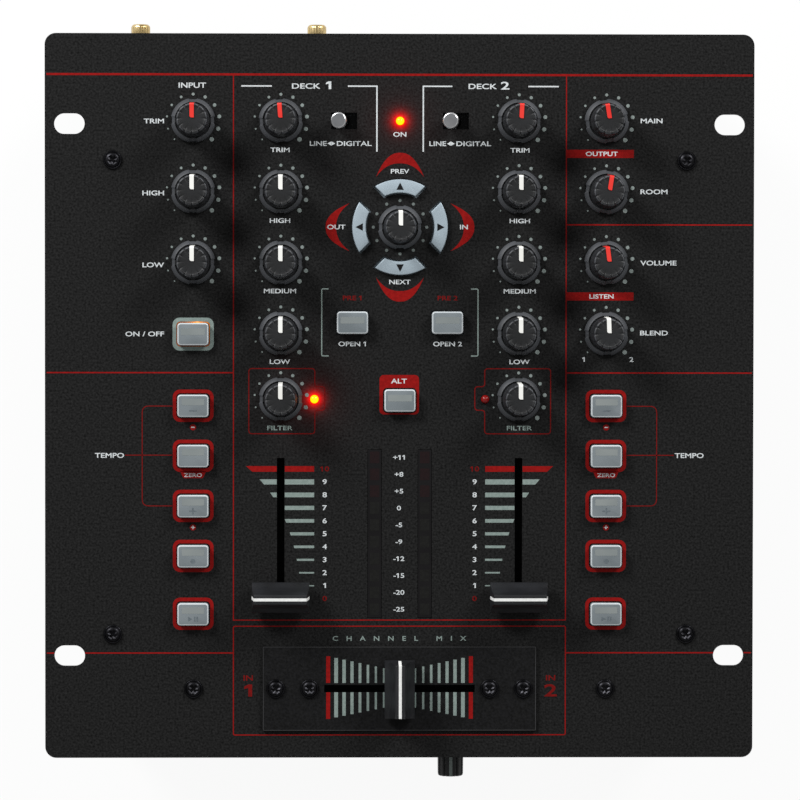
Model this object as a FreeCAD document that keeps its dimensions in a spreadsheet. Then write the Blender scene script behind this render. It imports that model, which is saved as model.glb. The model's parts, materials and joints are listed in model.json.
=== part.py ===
import FreeCAD, Part

import math
import os

import Sketcher

# Ten-inch two-channel battle mixer: a steel case under an overhanging rack panel, with knobs, buttons,
# toggles and faders on a control board. X runs to the right, Y to the rear and Z up. The origin lies
# under the middle of the panel, on the plane that the feet stand on.

SIZES = {
    # Panel
    "panel_width": 254.0,
    "panel_depth": 259.5,
    "panel_thick": 2.0,
    "panel_corner": 4.0,
    "rack_slot_pitch_x": 236.5,
    "rack_slot_pitch_y": 190.5,
    "rack_slot_shift_y": 2.2,
    "rack_slot_length": 11.0,
    "rack_slot_width": 7.4,
    # Case
    "case_width": 220.0,
    "case_height": 80.0,
    "front_overhang": 6.5,
    "rear_overhang": 10.0,
    "sheet_thick": 1.2,
    "flange_width": 13.0,
    "tab_width": 16.0,
    "tab_depth": 25.0,
    "rear_flange": 10.0,
    "foot_height": 8.0,
    "foot_dia": 20.0,
    "foot_taper": 1.5,
    "foot_recess_dia": 8.0,
    "foot_recess_depth": 4.0,
    "foot_inset": 20.0,
    # Screws
    "screw_dia": 3.0,
    "screw_length": 7.0,
    "screw_head_dia": 6.6,
    "screw_head_height": 1.6,
    "screw_clear": 0.15,
    "panel_screw_x": 102.8,
    "panel_screw_rear_y": 84.5,
    "panel_screw_front_y": 85.3,
    "tab_screw_x": 73.9,
    "tab_screw_y": 105.0,
    "side_screw_low": 20.0,
    "side_screw_high": 60.0,
    "side_screw_inset": 6.0,
    # Columns and rows of the controls; places along the depth are those of a panel of the layout depth
    "layout_depth": 259.5,
    "deck_x": 74.0,
    "channel_x": 42.65,
    "top_row_y": 98.6,
    "row_pitch": 25.35,
    "filter_y": 1.0,
    "browse_y": 60.6,
    "mic_button_y": 22.25,
    "deck_button_y": 3.4,
    "deck_button_pitch": 17.95,
    "lowest_button_y": 78.0,
    "load_x": 17.0,
    "load_y": 26.4,
    "shift_y": 1.45,
    # Boards
    "board_drop": 14.0,
    "board_thick": 1.6,
    "board_width": 186.0,
    "board_rear_y": 112.0,
    "board_front_y": 94.0,
    "standoff_dia": 6.0,
    "standoff_inset": 5.0,
    "standoff_middle_y": 8.0,
    # Pots and their knobs
    "pot_width": 11.0,
    "pot_height": 6.5,
    "pot_floor": 1.5,
    "bushing_dia": 9.0,
    "bushing_height": 4.0,
    "shaft_dia": 6.0,
    "shaft_clear": 0.1,
    "shaft_end_gap": 0.5,
    "shaft_hole_clear": 0.75,
    "shaft_grip": 9.0,
    "knob_gap": 0.6,
    "knob_height": 15.9,
    "skirt_dia": 15.6,
    "skirt_rim": 1.3,
    "skirt_height": 5.0,
    "skirt_top_dia": 13.6,
    "groove_width": 0.55,
    "groove_depth": 2.4,
    "cap_base_dia": 11.9,
    "cap_top_dia": 9.9,
    "cap_bevel": 0.5,
    "web_width": 1.9,
    "web_drop": 0.6,
    "web_notch": 0.45,
    "pointer_width": 1.9,
    "pointer_depth": 0.7,
    "pointer_proud": 0.1,
    "pointer_start": 0.3,
    # Rest turns of the knobs, clockwise seen from above
    "channel_one_gain_turn": -4.0,
    "channel_two_gain_turn": 3.0,
    "master_turn": -9.0,
    "booth_turn": 9.0,
    "phones_level_turn": -7.0,
    "phones_mix_turn": -2.0,
    # Buttons, browse keys and their switches
    "button_width": 11.3,
    "button_depth": 8.2,
    "button_proud": 3.5,
    "button_corner": 1.2,
    "button_bevel": 0.6,
    "button_clear": 0.3,
    "button_lip": 0.8,
    "lip_thick": 1.0,
    "lip_gap": 0.3,
    "stem_dia": 3.5,
    "stem_clear": 0.1,
    "stem_entry": 1.2,
    "switch_width": 6.2,
    "switch_height": 3.6,
    "switch_floor": 0.8,
    "key_inner_dia": 24.4,
    "key_outer_dia": 34.2,
    "key_gap": 7.2,
    "key_proud": 2.0,
    # Toggles
    "toggle_x": 20.0,
    "toggle_slot_length": 9.3,
    "toggle_slot_width": 6.0,
    "toggle_body_length": 13.0,
    "toggle_body_width": 9.0,
    "toggle_body_height": 10.0,
    "toggle_wall": 1.6,
    "toggle_floor": 2.0,
    "toggle_pivot_drop": 4.5,
    "toggle_pin_dia": 1.8,
    "toggle_pin_clear": 0.1,
    "toggle_pin_end_gap": 0.3,
    "toggle_tilt": 12.0,
    "lever_dia": 3.0,
    "lever_root_dia": 4.2,
    "lever_length": 10.5,
    "lever_ball_dia": 5.4,
    # Faders
    "fader_y": 49.4,
    "fader_travel": 45.0,
    "fader_end_gap": 2.3,
    "fader_slot_width": 2.7,
    "frame_end": 8.0,
    "frame_width": 14.0,
    "frame_height": 12.0,
    "frame_wall": 1.2,
    "carriage_end_gap": 2.5,
    "frame_opening_clear": 1.0,
    "rod_dia": 2.4,
    "rod_spacing": 6.0,
    "rod_clear": 0.1,
    "carriage_length": 10.0,
    "carriage_width": 10.4,
    "carriage_height": 5.0,
    "blade_thick": 1.2,
    "blade_length": 5.0,
    "blade_grip": 6.0,
    "fader_cap_lift": 2.5,
    "fader_cap_length": 20.6,
    "fader_cap_width": 10.8,
    "fader_cap_height": 13.0,
    "fader_cap_shoulder": 3.2,
    "fader_cap_waist": 4.6,
    "fader_cap_waist_height": 9.0,
    "fader_cap_ridge": 3.4,
    "fader_cap_end_taper": 0.9,
    "stripe_width": 1.05,
    "stripe_depth": 0.7,
    # Crossfader
    "crossfader_y": 104.85,
    "plate_width": 98.0,
    "plate_depth": 30.2,
    "plate_thick": 1.2,
    "plate_end_gap": 2.0,
    "plate_screw_x": 44.4,
    "frame_screw_x": 32.3,
    # Indicators
    "led_dia": 3.0,
    "led_clear": 0.1,
    "led_proud": 0.4,
    "filter_led_x": 30.6,
    "meter_x": 9.0,
    "meter_y": 49.3,
    "meter_width": 4.9,
    "meter_length": 60.4,
    "meter_clear": 0.1,
    "meter_lip": 1.2,
    "meter_lip_thick": 1.0,
    # Front wall
    "curve_knob_x": 19.3,
    "curve_knob_z": 60.0,
    "curve_knob_dia": 9.5,
    "curve_knob_length": 14.55,
    "curve_knob_gap": 2.0,
    "curve_knob_bevel": 0.6,
    "curve_flute_dia": 1.6,
    "curve_mark_width": 1.4,
    "curve_mark_depth": 0.5,
    "front_socket_z": 45.0,
    "phones_x": 62.0,
    "mini_phones_x": 38.0,
    # Jack sockets
    "jack_body_width": 15.0,
    "jack_body_depth": 27.0,
    "jack_bushing_dia": 10.6,
    "jack_bore_dia": 6.5,
    "jack_bore_depth": 26.0,
    "mini_body_width": 9.0,
    "mini_body_depth": 15.0,
    "mini_bushing_dia": 6.8,
    "mini_bore_dia": 3.7,
    "mini_bore_depth": 14.5,
    "nut_rim": 2.0,
    "nut_thick": 2.0,
    "socket_clear": 0.2,
    # Rear wall
    "phono_left_x": 80.0,
    "phono_middle_x": 14.0,
    "phono_pitch": 16.0,
    "phono_low_z": 29.0,
    "phono_row_pitch": 20.0,
    "phono_shell_dia": 8.3,
    "phono_shell_length": 8.0,
    "phono_collar_dia": 10.4,
    "phono_collar_proud": 0.5,
    "phono_bore_dia": 3.2,
    "phono_bore_depth": 13.0,
    "phono_housing_width": 12.0,
    "phono_housing_depth": 12.0,
    "phono_housing_margin": 8.0,
    "jack_board_margin": 6.0,
    "post_left_x": 95.5,
    "post_middle_x": 29.9,
    "post_z": 30.0,
    "post_dia": 7.0,
    "post_length": 14.15,
    "post_collar_dia": 9.0,
    "post_collar_thick": 1.6,
    "post_neck_dia": 4.6,
    "post_neck_length": 1.6,
    "post_stud_dia": 3.8,
    "post_stud_length": 6.0,
    "post_bevel": 0.8,
    "main_left_x": 42.0,
    "main_pitch": 20.0,
    "main_z": 40.0,
    "mic_jack_x": 82.0,
    "mic_jack_z": 54.0,
    "usb_x": 82.0,
    "usb_z": 27.0,
    "usb_width": 12.0,
    "usb_height": 11.0,
    "usb_depth": 16.0,
    "usb_wall": 1.4,
    "usb_mouth_depth": 9.0,
    "usb_tongue_width": 5.6,
    "usb_tongue_height": 3.2,
    "power_x": 97.0,
    "power_z": 27.0,
    "power_width": 9.0,
    "power_height": 11.0,
    "power_depth": 14.0,
    "power_bore_dia": 5.7,
    "power_bore_depth": 10.0,
    "power_pin_dia": 2.0,
    "power_pin_gap": 1.0,
    "inlet_proud": 0.5,
}


class Formula:
    """A size worked out from cells of the sheet: its text, for binding, and its present value."""

    def __init__(self, text, value):
        self.text = text
        self.value = value

    def __add__(self, other):
        return join(self, "+", other)

    def __radd__(self, other):
        return join(other, "+", self)

    def __sub__(self, other):
        return join(self, "-", other)

    def __rsub__(self, other):
        return join(other, "-", self)

    def __mul__(self, other):
        return join(self, "*", other)

    def __rmul__(self, other):
        return join(other, "*", self)

    def __truediv__(self, other):
        return join(self, "/", other)

    def __neg__(self):
        return join(0, "-", self)


def formula(amount):
    """Read a plain number as a formula."""
    if isinstance(amount, Formula):
        return amount
    return Formula(f"({float(amount)})", float(amount))


def join(left, sign, right):
    """Join two amounts by one of the four arithmetic signs."""
    left = formula(left)
    right = formula(right)
    values = {
        "+": left.value + right.value,
        "-": left.value - right.value,
        "*": left.value * right.value,
        "/": left.value / right.value if right.value else 0.0,
    }
    return Formula(f"({left.text} {sign} {right.text})", values[sign])


class Sheet:
    """The driving sizes, one attribute for each cell of the spreadsheet."""

    def __init__(self, document, sizes):
        table = document.addObject("Spreadsheet::Sheet", "Sizes")
        for row, (name, value) in enumerate(sizes.items(), start=1):
            table.set(f"A{row}", name)
            table.set(f"B{row}", str(value))
            table.setAlias(f"B{row}", name)
            setattr(self, name, Formula(f"Sizes.{name}", value))


doc = FreeCAD.newDocument("mixer")
size = Sheet(doc, SIZES)
doc.recompute()

ZERO = formula(0)
NODES = []

PANEL_UNDER = size.foot_height + size.case_height
PANEL_TOP = PANEL_UNDER + size.panel_thick
PLATE_TOP = PANEL_TOP + size.plate_thick
BOARD_TOP = PANEL_UNDER - size.board_drop
FLOOR_TOP = size.foot_height + size.sheet_thick
FRONT_FACE = size.front_overhang - size.panel_depth / 2
REAR_FACE = size.panel_depth / 2 - size.rear_overhang
FRONT_INNER = FRONT_FACE + size.sheet_thick
REAR_INNER = REAR_FACE - size.sheet_thick
SIDE_INNER = size.case_width / 2 - size.sheet_thick
CASE_MIDDLE_Y = (FRONT_FACE + REAR_FACE) / 2
CASE_DEPTH = REAR_FACE - FRONT_FACE
STRETCH = size.panel_depth / size.layout_depth


def depthwise(amount):
    """A place along the depth, which moves in proportion with the panel's edges."""
    return amount * STRETCH


ROWS = [depthwise(size.top_row_y - size.row_pitch * step) for step in range(4)]
FILTER_ROW = -depthwise(size.filter_y)

UPRIGHT = FreeCAD.Rotation()
TO_FRONT = FreeCAD.Rotation(FreeCAD.Vector(1, 0, 0), 90)
TO_REAR = FreeCAD.Rotation(FreeCAD.Vector(1, 0, 0), -90)
TO_RIGHT = FreeCAD.Rotation(FreeCAD.Vector(0, 1, 0), 90)
TO_LEFT = FreeCAD.Rotation(FreeCAD.Vector(0, 1, 0), -90)
QUARTER = FreeCAD.Rotation(FreeCAD.Vector(0, 0, 1), 90)


# Binding and placing

def bind(item, path, amount):
    item.setExpression(path, formula(amount).text)


def place(item, x=0, y=0, z=0, turn=UPRIGHT):
    item.Placement = FreeCAD.Placement(FreeCAD.Vector(), turn)
    for axis, amount in zip("xyz", (x, y, z)):
        bind(item, f"Placement.Base.{axis}", amount)
    return item


def cylinder(name, dia, height, x=0, y=0, z=0, turn=UPRIGHT):
    item = doc.addObject("Part::Cylinder", name)
    bind(item, "Radius", formula(dia) / 2)
    bind(item, "Height", height)
    return place(item, x, y, z, turn)


def block(name, width, depth, height, x=0, y=0, z=0):
    """A box centred on x and y, standing on z."""
    item = doc.addObject("Part::Box", name)
    bind(item, "Length", width)
    bind(item, "Width", depth)
    bind(item, "Height", height)
    return place(item, formula(x) - formula(width) / 2, formula(y) - formula(depth) / 2, z)


def cut(name, base, *tools):
    item = doc.addObject("Part::Cut", name)
    item.Base = base
    item.Tool = tools[0] if len(tools) == 1 else gather(f"{name}_tools", tools)
    return item


def fuse(name, *pieces):
    item = doc.addObject("Part::MultiFuse", name)
    item.Shapes = list(pieces)
    return item


def common(name, base, tool):
    item = doc.addObject("Part::Common", name)
    item.Base = base
    item.Tool = tool
    return item


def gather(name, pieces, x=0, y=0, z=0, turn=UPRIGHT):
    """Separate solids held together at one place."""
    item = doc.addObject("Part::Compound", name)
    item.Links = list(pieces)
    return place(item, x, y, z, turn)


def node(item, label):
    """Name a finished sub-part, which is written to a file of that name."""
    item.Label = label
    NODES.append(item)
    return item


# Sketches and features

def new_body(name):
    return doc.addObject("PartDesign::Body", name)


def sketch_on(body, name, role, offset=0):
    sketch = body.newObject("Sketcher::SketchObject", name)
    plane = next(item for item in body.Origin.OriginFeatures if item.Role == role)
    sketch.AttachmentSupport = [(plane, "")]
    sketch.MapMode = "FlatFace"
    bind(sketch, "AttachmentOffset.Base.z", offset)
    return sketch


def constrain(sketch, rules):
    """Add constraints in one go; a rule with an amount is bound to it."""
    made = []
    for kind, places, amount in rules:
        arguments = list(places) if amount is None else [*places, amount.value]
        made.append(Sketcher.Constraint(kind, *arguments))
    numbers = sketch.addConstraint(made)
    for number, (kind, places, amount) in zip(numbers, rules):
        if amount is not None:
            sketch.setExpression(f"Constraints[{number}]", amount.text)


def pinned(geometry, end, x, y):
    """Rules that hold a point at x and y from the sketch's origin."""
    return [
        ("DistanceX", (-1, 1, geometry, end), formula(x)),
        ("DistanceY", (-1, 1, geometry, end), formula(y)),
    ]


def flat_point(x, y):
    return FreeCAD.Vector(formula(x).value, formula(y).value, 0)


def polygon(sketch, corners):
    first = sketch.GeometryCount
    count = len(corners)
    points = [flat_point(x, y) for x, y in corners]
    for step in range(count):
        sketch.addGeometry(Part.LineSegment(points[step], points[(step + 1) % count]))
    rules = []
    for step in range(count):
        rules.append(("Coincident", (first + step, 2, first + (step + 1) % count, 1), None))
        rules += pinned(first + step, 1, *corners[step])
    constrain(sketch, rules)


def rectangle(sketch, x, y, width, depth):
    left = formula(x) - formula(width) / 2
    right = formula(x) + formula(width) / 2
    low = formula(y) - formula(depth) / 2
    high = formula(y) + formula(depth) / 2
    polygon(sketch, [(left, low), (right, low), (right, high), (left, high)])


def circle(sketch, x, y, dia):
    radius = formula(dia) / 2
    number = sketch.addGeometry(Part.Circle(flat_point(x, y), FreeCAD.Vector(0, 0, 1), radius.value))
    constrain(sketch, pinned(number, 3, x, y) + [("Radius", (number,), radius)])


def long_hole(sketch, x, y, length, width):
    """A slot with round ends, lying along the sketch's first axis."""
    radius = formula(width) / 2
    reach = formula(length) / 2 - radius
    low = formula(y) - radius
    high = formula(y) + radius
    left = formula(x) - reach
    right = formula(x) + reach
    up = FreeCAD.Vector(0, 0, 1)
    right_round = Part.Circle(flat_point(right, y), up, radius.value)
    left_round = Part.Circle(flat_point(left, y), up, radius.value)
    quarter = math.pi / 2
    first = sketch.GeometryCount
    sketch.addGeometry(Part.LineSegment(flat_point(left, low), flat_point(right, low)))
    sketch.addGeometry(Part.ArcOfCircle(right_round, -quarter, quarter))
    sketch.addGeometry(Part.LineSegment(flat_point(right, high), flat_point(left, high)))
    sketch.addGeometry(Part.ArcOfCircle(left_round, quarter, 3 * quarter))
    rules = []
    for step in range(4):
        following = first + (step + 1) % 4
        rules.append(("Coincident", (first + step, 2, following, 1), None))
    rules += pinned(first, 1, left, low) + pinned(first, 2, right, low)
    rules += pinned(first + 2, 1, right, high) + pinned(first + 2, 2, left, high)
    rules.append(("DistanceX", (-1, 1, first + 1, 3), right))
    rules.append(("DistanceX", (-1, 1, first + 3, 3), left))
    constrain(sketch, rules)


def pad(body, sketch, length, middle=False):
    item = body.newObject("PartDesign::Pad", f"{sketch.Name}_pad")
    item.Profile = sketch
    bind(item, "Length", length)
    item.Midplane = middle
    sketch.Visibility = False
    return item


def pocket_through(body, sketch):
    item = body.newObject("PartDesign::Pocket", f"{sketch.Name}_pocket")
    item.Profile = sketch
    item.Type = "ThroughAll"
    item.Midplane = True
    return item


def pocket_down(body, sketch, depth):
    item = body.newObject("PartDesign::Pocket", f"{sketch.Name}_pocket")
    item.Profile = sketch
    bind(item, "Length", depth)
    return item


def revolve(body, sketch):
    item = body.newObject("PartDesign::Revolution", f"{sketch.Name}_turned")
    item.Profile = sketch
    item.ReferenceAxis = (sketch, ["V_Axis"])
    item.Angle = 360
    return item


def edge_names(feature, test):
    return [f"Edge{number}" for number, edge in enumerate(feature.Shape.Edges, start=1) if test(edge)]


def upright_edge(edge):
    low = edge.BoundBox
    return low.ZLength > max(low.XLength, low.YLength) and low.XLength + low.YLength < low.ZLength / 100


def dress(body, kind, feature, test, amount):
    """Round or bevel the edges of a feature that pass the test."""
    doc.recompute()
    item = body.newObject(f"PartDesign::{kind}", f"{feature.Name}_{kind.lower()}")
    item.Base = (feature, edge_names(feature, test))
    bind(item, "Radius" if kind == "Fillet" else "Size", amount)
    return item


def level_edge(height):
    """A test for edges that lie level at one height."""
    def test(edge):
        box = edge.BoundBox
        return abs(box.ZMax - height.value) < 0.001 and box.ZLength < 0.001
    return test


# Where the controls stand on the panel

LEFT_DECK = -size.deck_x
RIGHT_DECK = size.deck_x
LEFT_CHANNEL = -size.channel_x
RIGHT_CHANNEL = size.channel_x

KNOBS = {
    "mic_gain_knob": (LEFT_DECK, ROWS[0], ZERO),
    "mic_treble_knob": (LEFT_DECK, ROWS[1], ZERO),
    "mic_bass_knob": (LEFT_DECK, ROWS[2], ZERO),
    "channel_one_gain_knob": (LEFT_CHANNEL, ROWS[0], size.channel_one_gain_turn),
    "channel_one_treble_knob": (LEFT_CHANNEL, ROWS[1], ZERO),
    "channel_one_mid_knob": (LEFT_CHANNEL, ROWS[2], ZERO),
    "channel_one_bass_knob": (LEFT_CHANNEL, ROWS[3], ZERO),
    "channel_one_filter_knob": (LEFT_CHANNEL, FILTER_ROW, ZERO),
    "channel_two_gain_knob": (RIGHT_CHANNEL, ROWS[0], size.channel_two_gain_turn),
    "channel_two_treble_knob": (RIGHT_CHANNEL, ROWS[1], ZERO),
    "channel_two_mid_knob": (RIGHT_CHANNEL, ROWS[2], ZERO),
    "channel_two_bass_knob": (RIGHT_CHANNEL, ROWS[3], ZERO),
    "channel_two_filter_knob": (RIGHT_CHANNEL, FILTER_ROW, ZERO),
    "master_knob": (RIGHT_DECK, ROWS[0], size.master_turn),
    "booth_knob": (RIGHT_DECK, ROWS[1], size.booth_turn),
    "phones_level_knob": (RIGHT_DECK, ROWS[2], size.phones_level_turn),
    "phones_mix_knob": (RIGHT_DECK, ROWS[3], size.phones_mix_turn),
}
BROWSE = (ZERO, depthwise(size.browse_y))

DECK_BUTTONS = ("pitch_down", "bend", "pitch_up", "cue", "play")
DECK_ROWS = [-depthwise(size.deck_button_y + size.deck_button_pitch * step) for step in range(4)]
DECK_ROWS.append(-depthwise(size.lowest_button_y))
BUTTONS = {"mic_button": (LEFT_DECK, depthwise(size.mic_button_y))}
for deck, deck_column in (("left", LEFT_DECK), ("right", RIGHT_DECK)):
    for button_name, button_row in zip(DECK_BUTTONS, DECK_ROWS):
        BUTTONS[f"{deck}_{button_name}_button"] = (deck_column, button_row)
BUTTONS["load_left_button"] = (-size.load_x, depthwise(size.load_y))
BUTTONS["load_right_button"] = (size.load_x, depthwise(size.load_y))
BUTTONS["shift_button"] = (ZERO, -depthwise(size.shift_y))

KEYS = {"browse_up_key": 0, "browse_back_key": 90, "browse_down_key": 180, "browse_forward_key": 270}
KEY_MIDDLE = (size.key_inner_dia + size.key_outer_dia) / 4
KEY_STEMS = [
    (ZERO, BROWSE[1] + KEY_MIDDLE),
    (-KEY_MIDDLE, BROWSE[1]),
    (ZERO, BROWSE[1] - KEY_MIDDLE),
    (KEY_MIDDLE, BROWSE[1]),
]

TOGGLES = {"left_input_toggle": -size.toggle_x, "right_input_toggle": size.toggle_x}
CHANNEL_FADERS = {"left_channel_fader": LEFT_CHANNEL, "right_channel_fader": RIGHT_CHANNEL}
FADER_ROW = -depthwise(size.fader_y)
CROSSFADER_ROW = -depthwise(size.crossfader_y)
METER_ROW = -depthwise(size.meter_y)
LEDS = [
    (ZERO, ROWS[0]),
    (-size.filter_led_x, FILTER_ROW),
    (size.filter_led_x, FILTER_ROW),
]
METERS = [-size.meter_x, size.meter_x]

PANEL_SCREWS = [
    (side * size.panel_screw_x, row)
    for side in (-1, 1)
    for row in (depthwise(size.panel_screw_rear_y), -depthwise(size.panel_screw_front_y))
]
TAB_SCREWS = [(side * size.tab_screw_x, -depthwise(size.tab_screw_y)) for side in (-1, 1)]
PLATE_SCREWS = [(side * size.plate_screw_x, CROSSFADER_ROW) for side in (-1, 1)]
FRAME_SCREWS = [(side * size.frame_screw_x, CROSSFADER_ROW) for side in (-1, 1)]
SIDE_SCREW_Y = REAR_INNER - size.side_screw_inset
SIDE_SCREWS = [size.foot_height + size.side_screw_low, size.foot_height + size.side_screw_high]

SCREW_HOLE = size.screw_dia + size.screw_clear * 2
SHAFT_HOLE = size.shaft_dia + size.shaft_hole_clear * 2
BUTTON_HOLE_WIDTH = size.button_width + size.button_clear * 2
BUTTON_HOLE_DEPTH = size.button_depth + size.button_clear * 2
FADER_REACH = size.fader_travel + size.blade_length
FRAME_CAVITY = size.fader_travel + size.carriage_length + size.carriage_end_gap * 2
FRAME_LENGTH = FRAME_CAVITY + size.frame_end * 2
FRAME_HOLE_LENGTH = FRAME_LENGTH + size.frame_opening_clear * 2
FRAME_HOLE_WIDTH = size.frame_width + size.frame_opening_clear * 2


# Browse keys: a ring cut by two crossing bands

def key_sector(name, inner_dia, outer_dia, gap, height, z):
    """The rear quarter of a ring, with ends parallel to the diagonals."""
    ring = cut(
        f"{name}_ring",
        cylinder(f"{name}_outer", outer_dia, height, z=z),
        cylinder(f"{name}_inner", inner_dia, height, z=z),
    )
    wedge = doc.addObject("Part::Box", f"{name}_wedge")
    bind(wedge, "Length", outer_dia)
    bind(wedge, "Width", outer_dia)
    bind(wedge, "Height", height)
    place(wedge, 0, formula(gap) / math.sqrt(2), z, FreeCAD.Rotation(FreeCAD.Vector(0, 0, 1), 45))
    return common(name, ring, wedge)


def turned_about_browse(name, piece, angle, z=0):
    turn = FreeCAD.Rotation(FreeCAD.Vector(0, 0, 1), angle)
    return gather(name, [piece], *BROWSE, z, turn)


# Faceplate

def make_faceplate():
    body = new_body("FaceplateBody")
    outline = sketch_on(body, "faceplate_outline", "XY_Plane", PANEL_UNDER)
    rectangle(outline, 0, 0, size.panel_width, size.panel_depth)
    sheet = pad(body, outline, size.panel_thick)
    dress(body, "Fillet", sheet, upright_edge, size.panel_corner)

    slots = sketch_on(body, "faceplate_slots", "XY_Plane", PANEL_UNDER)
    for side in (-1, 1):
        for end in (-1, 1):
            slot_x = side * size.rack_slot_pitch_x / 2
            slot_y = size.rack_slot_shift_y + end * size.rack_slot_pitch_y / 2
            long_hole(slots, slot_x, slot_y, size.rack_slot_length, size.rack_slot_width)
    pocket_through(body, slots)

    holes = sketch_on(body, "faceplate_holes", "XY_Plane", PANEL_UNDER)
    for x, y, _ in KNOBS.values():
        circle(holes, x, y, SHAFT_HOLE)
    circle(holes, *BROWSE, SHAFT_HOLE)
    for x, y in LEDS:
        circle(holes, x, y, size.led_dia + size.led_clear * 2)
    for x, y in PANEL_SCREWS + TAB_SCREWS + PLATE_SCREWS:
        circle(holes, x, y, SCREW_HOLE)
    pocket_through(body, holes)

    windows = sketch_on(body, "faceplate_windows", "XY_Plane", PANEL_UNDER)
    for x, y in BUTTONS.values():
        rectangle(windows, x, y, BUTTON_HOLE_WIDTH, BUTTON_HOLE_DEPTH)
    for x in METERS:
        clear = size.meter_clear * 2
        rectangle(windows, x, METER_ROW, size.meter_width + clear, size.meter_length + clear)
    for x in TOGGLES.values():
        rectangle(windows, x, ROWS[0], size.toggle_slot_length, size.toggle_slot_width)
    for x in CHANNEL_FADERS.values():
        slot_length = FADER_REACH + size.fader_end_gap * 2
        rectangle(windows, x, FADER_ROW, size.fader_slot_width, slot_length)
    rectangle(windows, 0, CROSSFADER_ROW, FRAME_HOLE_LENGTH, FRAME_HOLE_WIDTH)
    pocket_through(body, windows)

    opening = key_sector(
        "KeyOpening",
        size.key_inner_dia - size.button_clear * 2,
        size.key_outer_dia + size.button_clear * 2,
        size.key_gap - size.button_clear * 2,
        size.panel_thick,
        PANEL_UNDER,
    )
    openings = [turned_about_browse(f"{name}_opening", opening, angle) for name, angle in KEYS.items()]
    node(cut("Faceplate", body, *openings), "faceplate")


# Case

def make_chassis_tray():
    body = new_body("ChassisTray")
    floor = sketch_on(body, "tray_floor", "XY_Plane", size.foot_height)
    rectangle(floor, 0, CASE_MIDDLE_Y, size.case_width, CASE_DEPTH)
    pad(body, floor, size.sheet_thick)

    half = size.case_width / 2
    walls = sketch_on(body, "tray_walls", "XY_Plane", size.foot_height)
    polygon(walls, [
        (-half, REAR_FACE), (-half, FRONT_FACE), (half, FRONT_FACE), (half, REAR_FACE),
        (SIDE_INNER, REAR_FACE), (SIDE_INNER, FRONT_INNER),
        (-SIDE_INNER, FRONT_INNER), (-SIDE_INNER, REAR_FACE),
    ])
    pad(body, walls, size.case_height)

    flanges = sketch_on(body, "tray_flanges", "XY_Plane", PANEL_UNDER - size.sheet_thick)
    flange_end = REAR_INNER - size.rear_flange
    flange_x = half - size.flange_width / 2
    flange_y = (FRONT_FACE + flange_end) / 2
    for side in (-1, 1):
        rectangle(flanges, side * flange_x, flange_y, size.flange_width, flange_end - FRONT_FACE)
        tab_y = FRONT_FACE + size.tab_depth / 2
        rectangle(flanges, side * size.tab_screw_x, tab_y, size.tab_width, size.tab_depth)
    pad(body, flanges, size.sheet_thick)

    screw_holes = sketch_on(body, "tray_screw_holes", "XY_Plane", PANEL_UNDER)
    for x, y in PANEL_SCREWS + TAB_SCREWS:
        circle(screw_holes, x, y, SCREW_HOLE)
    pocket_down(body, screw_holes, size.sheet_thick)

    side_holes = sketch_on(body, "tray_side_holes", "YZ_Plane")
    for z in SIDE_SCREWS:
        circle(side_holes, SIDE_SCREW_Y, z, SCREW_HOLE)
    pocket_through(body, side_holes)

    clear = size.socket_clear * 2
    front_holes = [
        cylinder("phones_hole", size.jack_bushing_dia + clear, size.sheet_thick,
                 -size.phones_x, FRONT_INNER, size.front_socket_z, TO_FRONT),
        cylinder("mini_phones_hole", size.mini_bushing_dia + clear, size.sheet_thick,
                 -size.mini_phones_x, FRONT_INNER, size.front_socket_z, TO_FRONT),
        cylinder("curve_shaft_hole", SHAFT_HOLE, size.sheet_thick,
                 size.curve_knob_x, FRONT_INNER, size.curve_knob_z, TO_FRONT),
    ]
    node(cut("ChassisTrayCut", body, *front_holes), "chassis_tray")


def make_rear_panel():
    body = new_body("RearPanel")
    outline = sketch_on(body, "rear_outline", "XY_Plane", FLOOR_TOP)
    back = REAR_INNER - size.rear_flange
    skin = SIDE_INNER - size.sheet_thick
    polygon(outline, [
        (-SIDE_INNER, REAR_FACE), (-SIDE_INNER, back), (-skin, back), (-skin, REAR_INNER),
        (skin, REAR_INNER), (skin, back), (SIDE_INNER, back), (SIDE_INNER, REAR_FACE),
    ])
    pad(body, outline, size.case_height - size.sheet_thick)

    side_holes = sketch_on(body, "rear_side_holes", "YZ_Plane")
    for z in SIDE_SCREWS:
        circle(side_holes, SIDE_SCREW_Y, z, SCREW_HOLE)
    pocket_through(body, side_holes)

    clear = size.socket_clear * 2
    holes = []
    for number, (x, z) in enumerate(PHONO_SPOTS):
        holes.append(rear_hole(f"phono_hole_{number}", size.phono_collar_dia + clear, x, z))
    for number, x in enumerate(POSTS):
        holes.append(rear_hole(f"post_hole_{number}", size.post_stud_dia + clear, x, size.post_z))
    for number, (x, z) in enumerate(REAR_JACKS):
        holes.append(rear_hole(f"jack_hole_{number}", size.jack_bushing_dia + clear, x, z))
    for name, x, z, width, height in INLETS:
        holes.append(block(f"{name}_hole", width + clear, size.sheet_thick, height + clear,
                           x, REAR_FACE - size.sheet_thick / 2, z - height / 2 - size.socket_clear))
    node(cut("RearPanelCut", body, *holes), "rear_panel")


def rear_hole(name, dia, x, z):
    return cylinder(name, dia, size.sheet_thick, x, REAR_INNER, z, TO_REAR)


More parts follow.
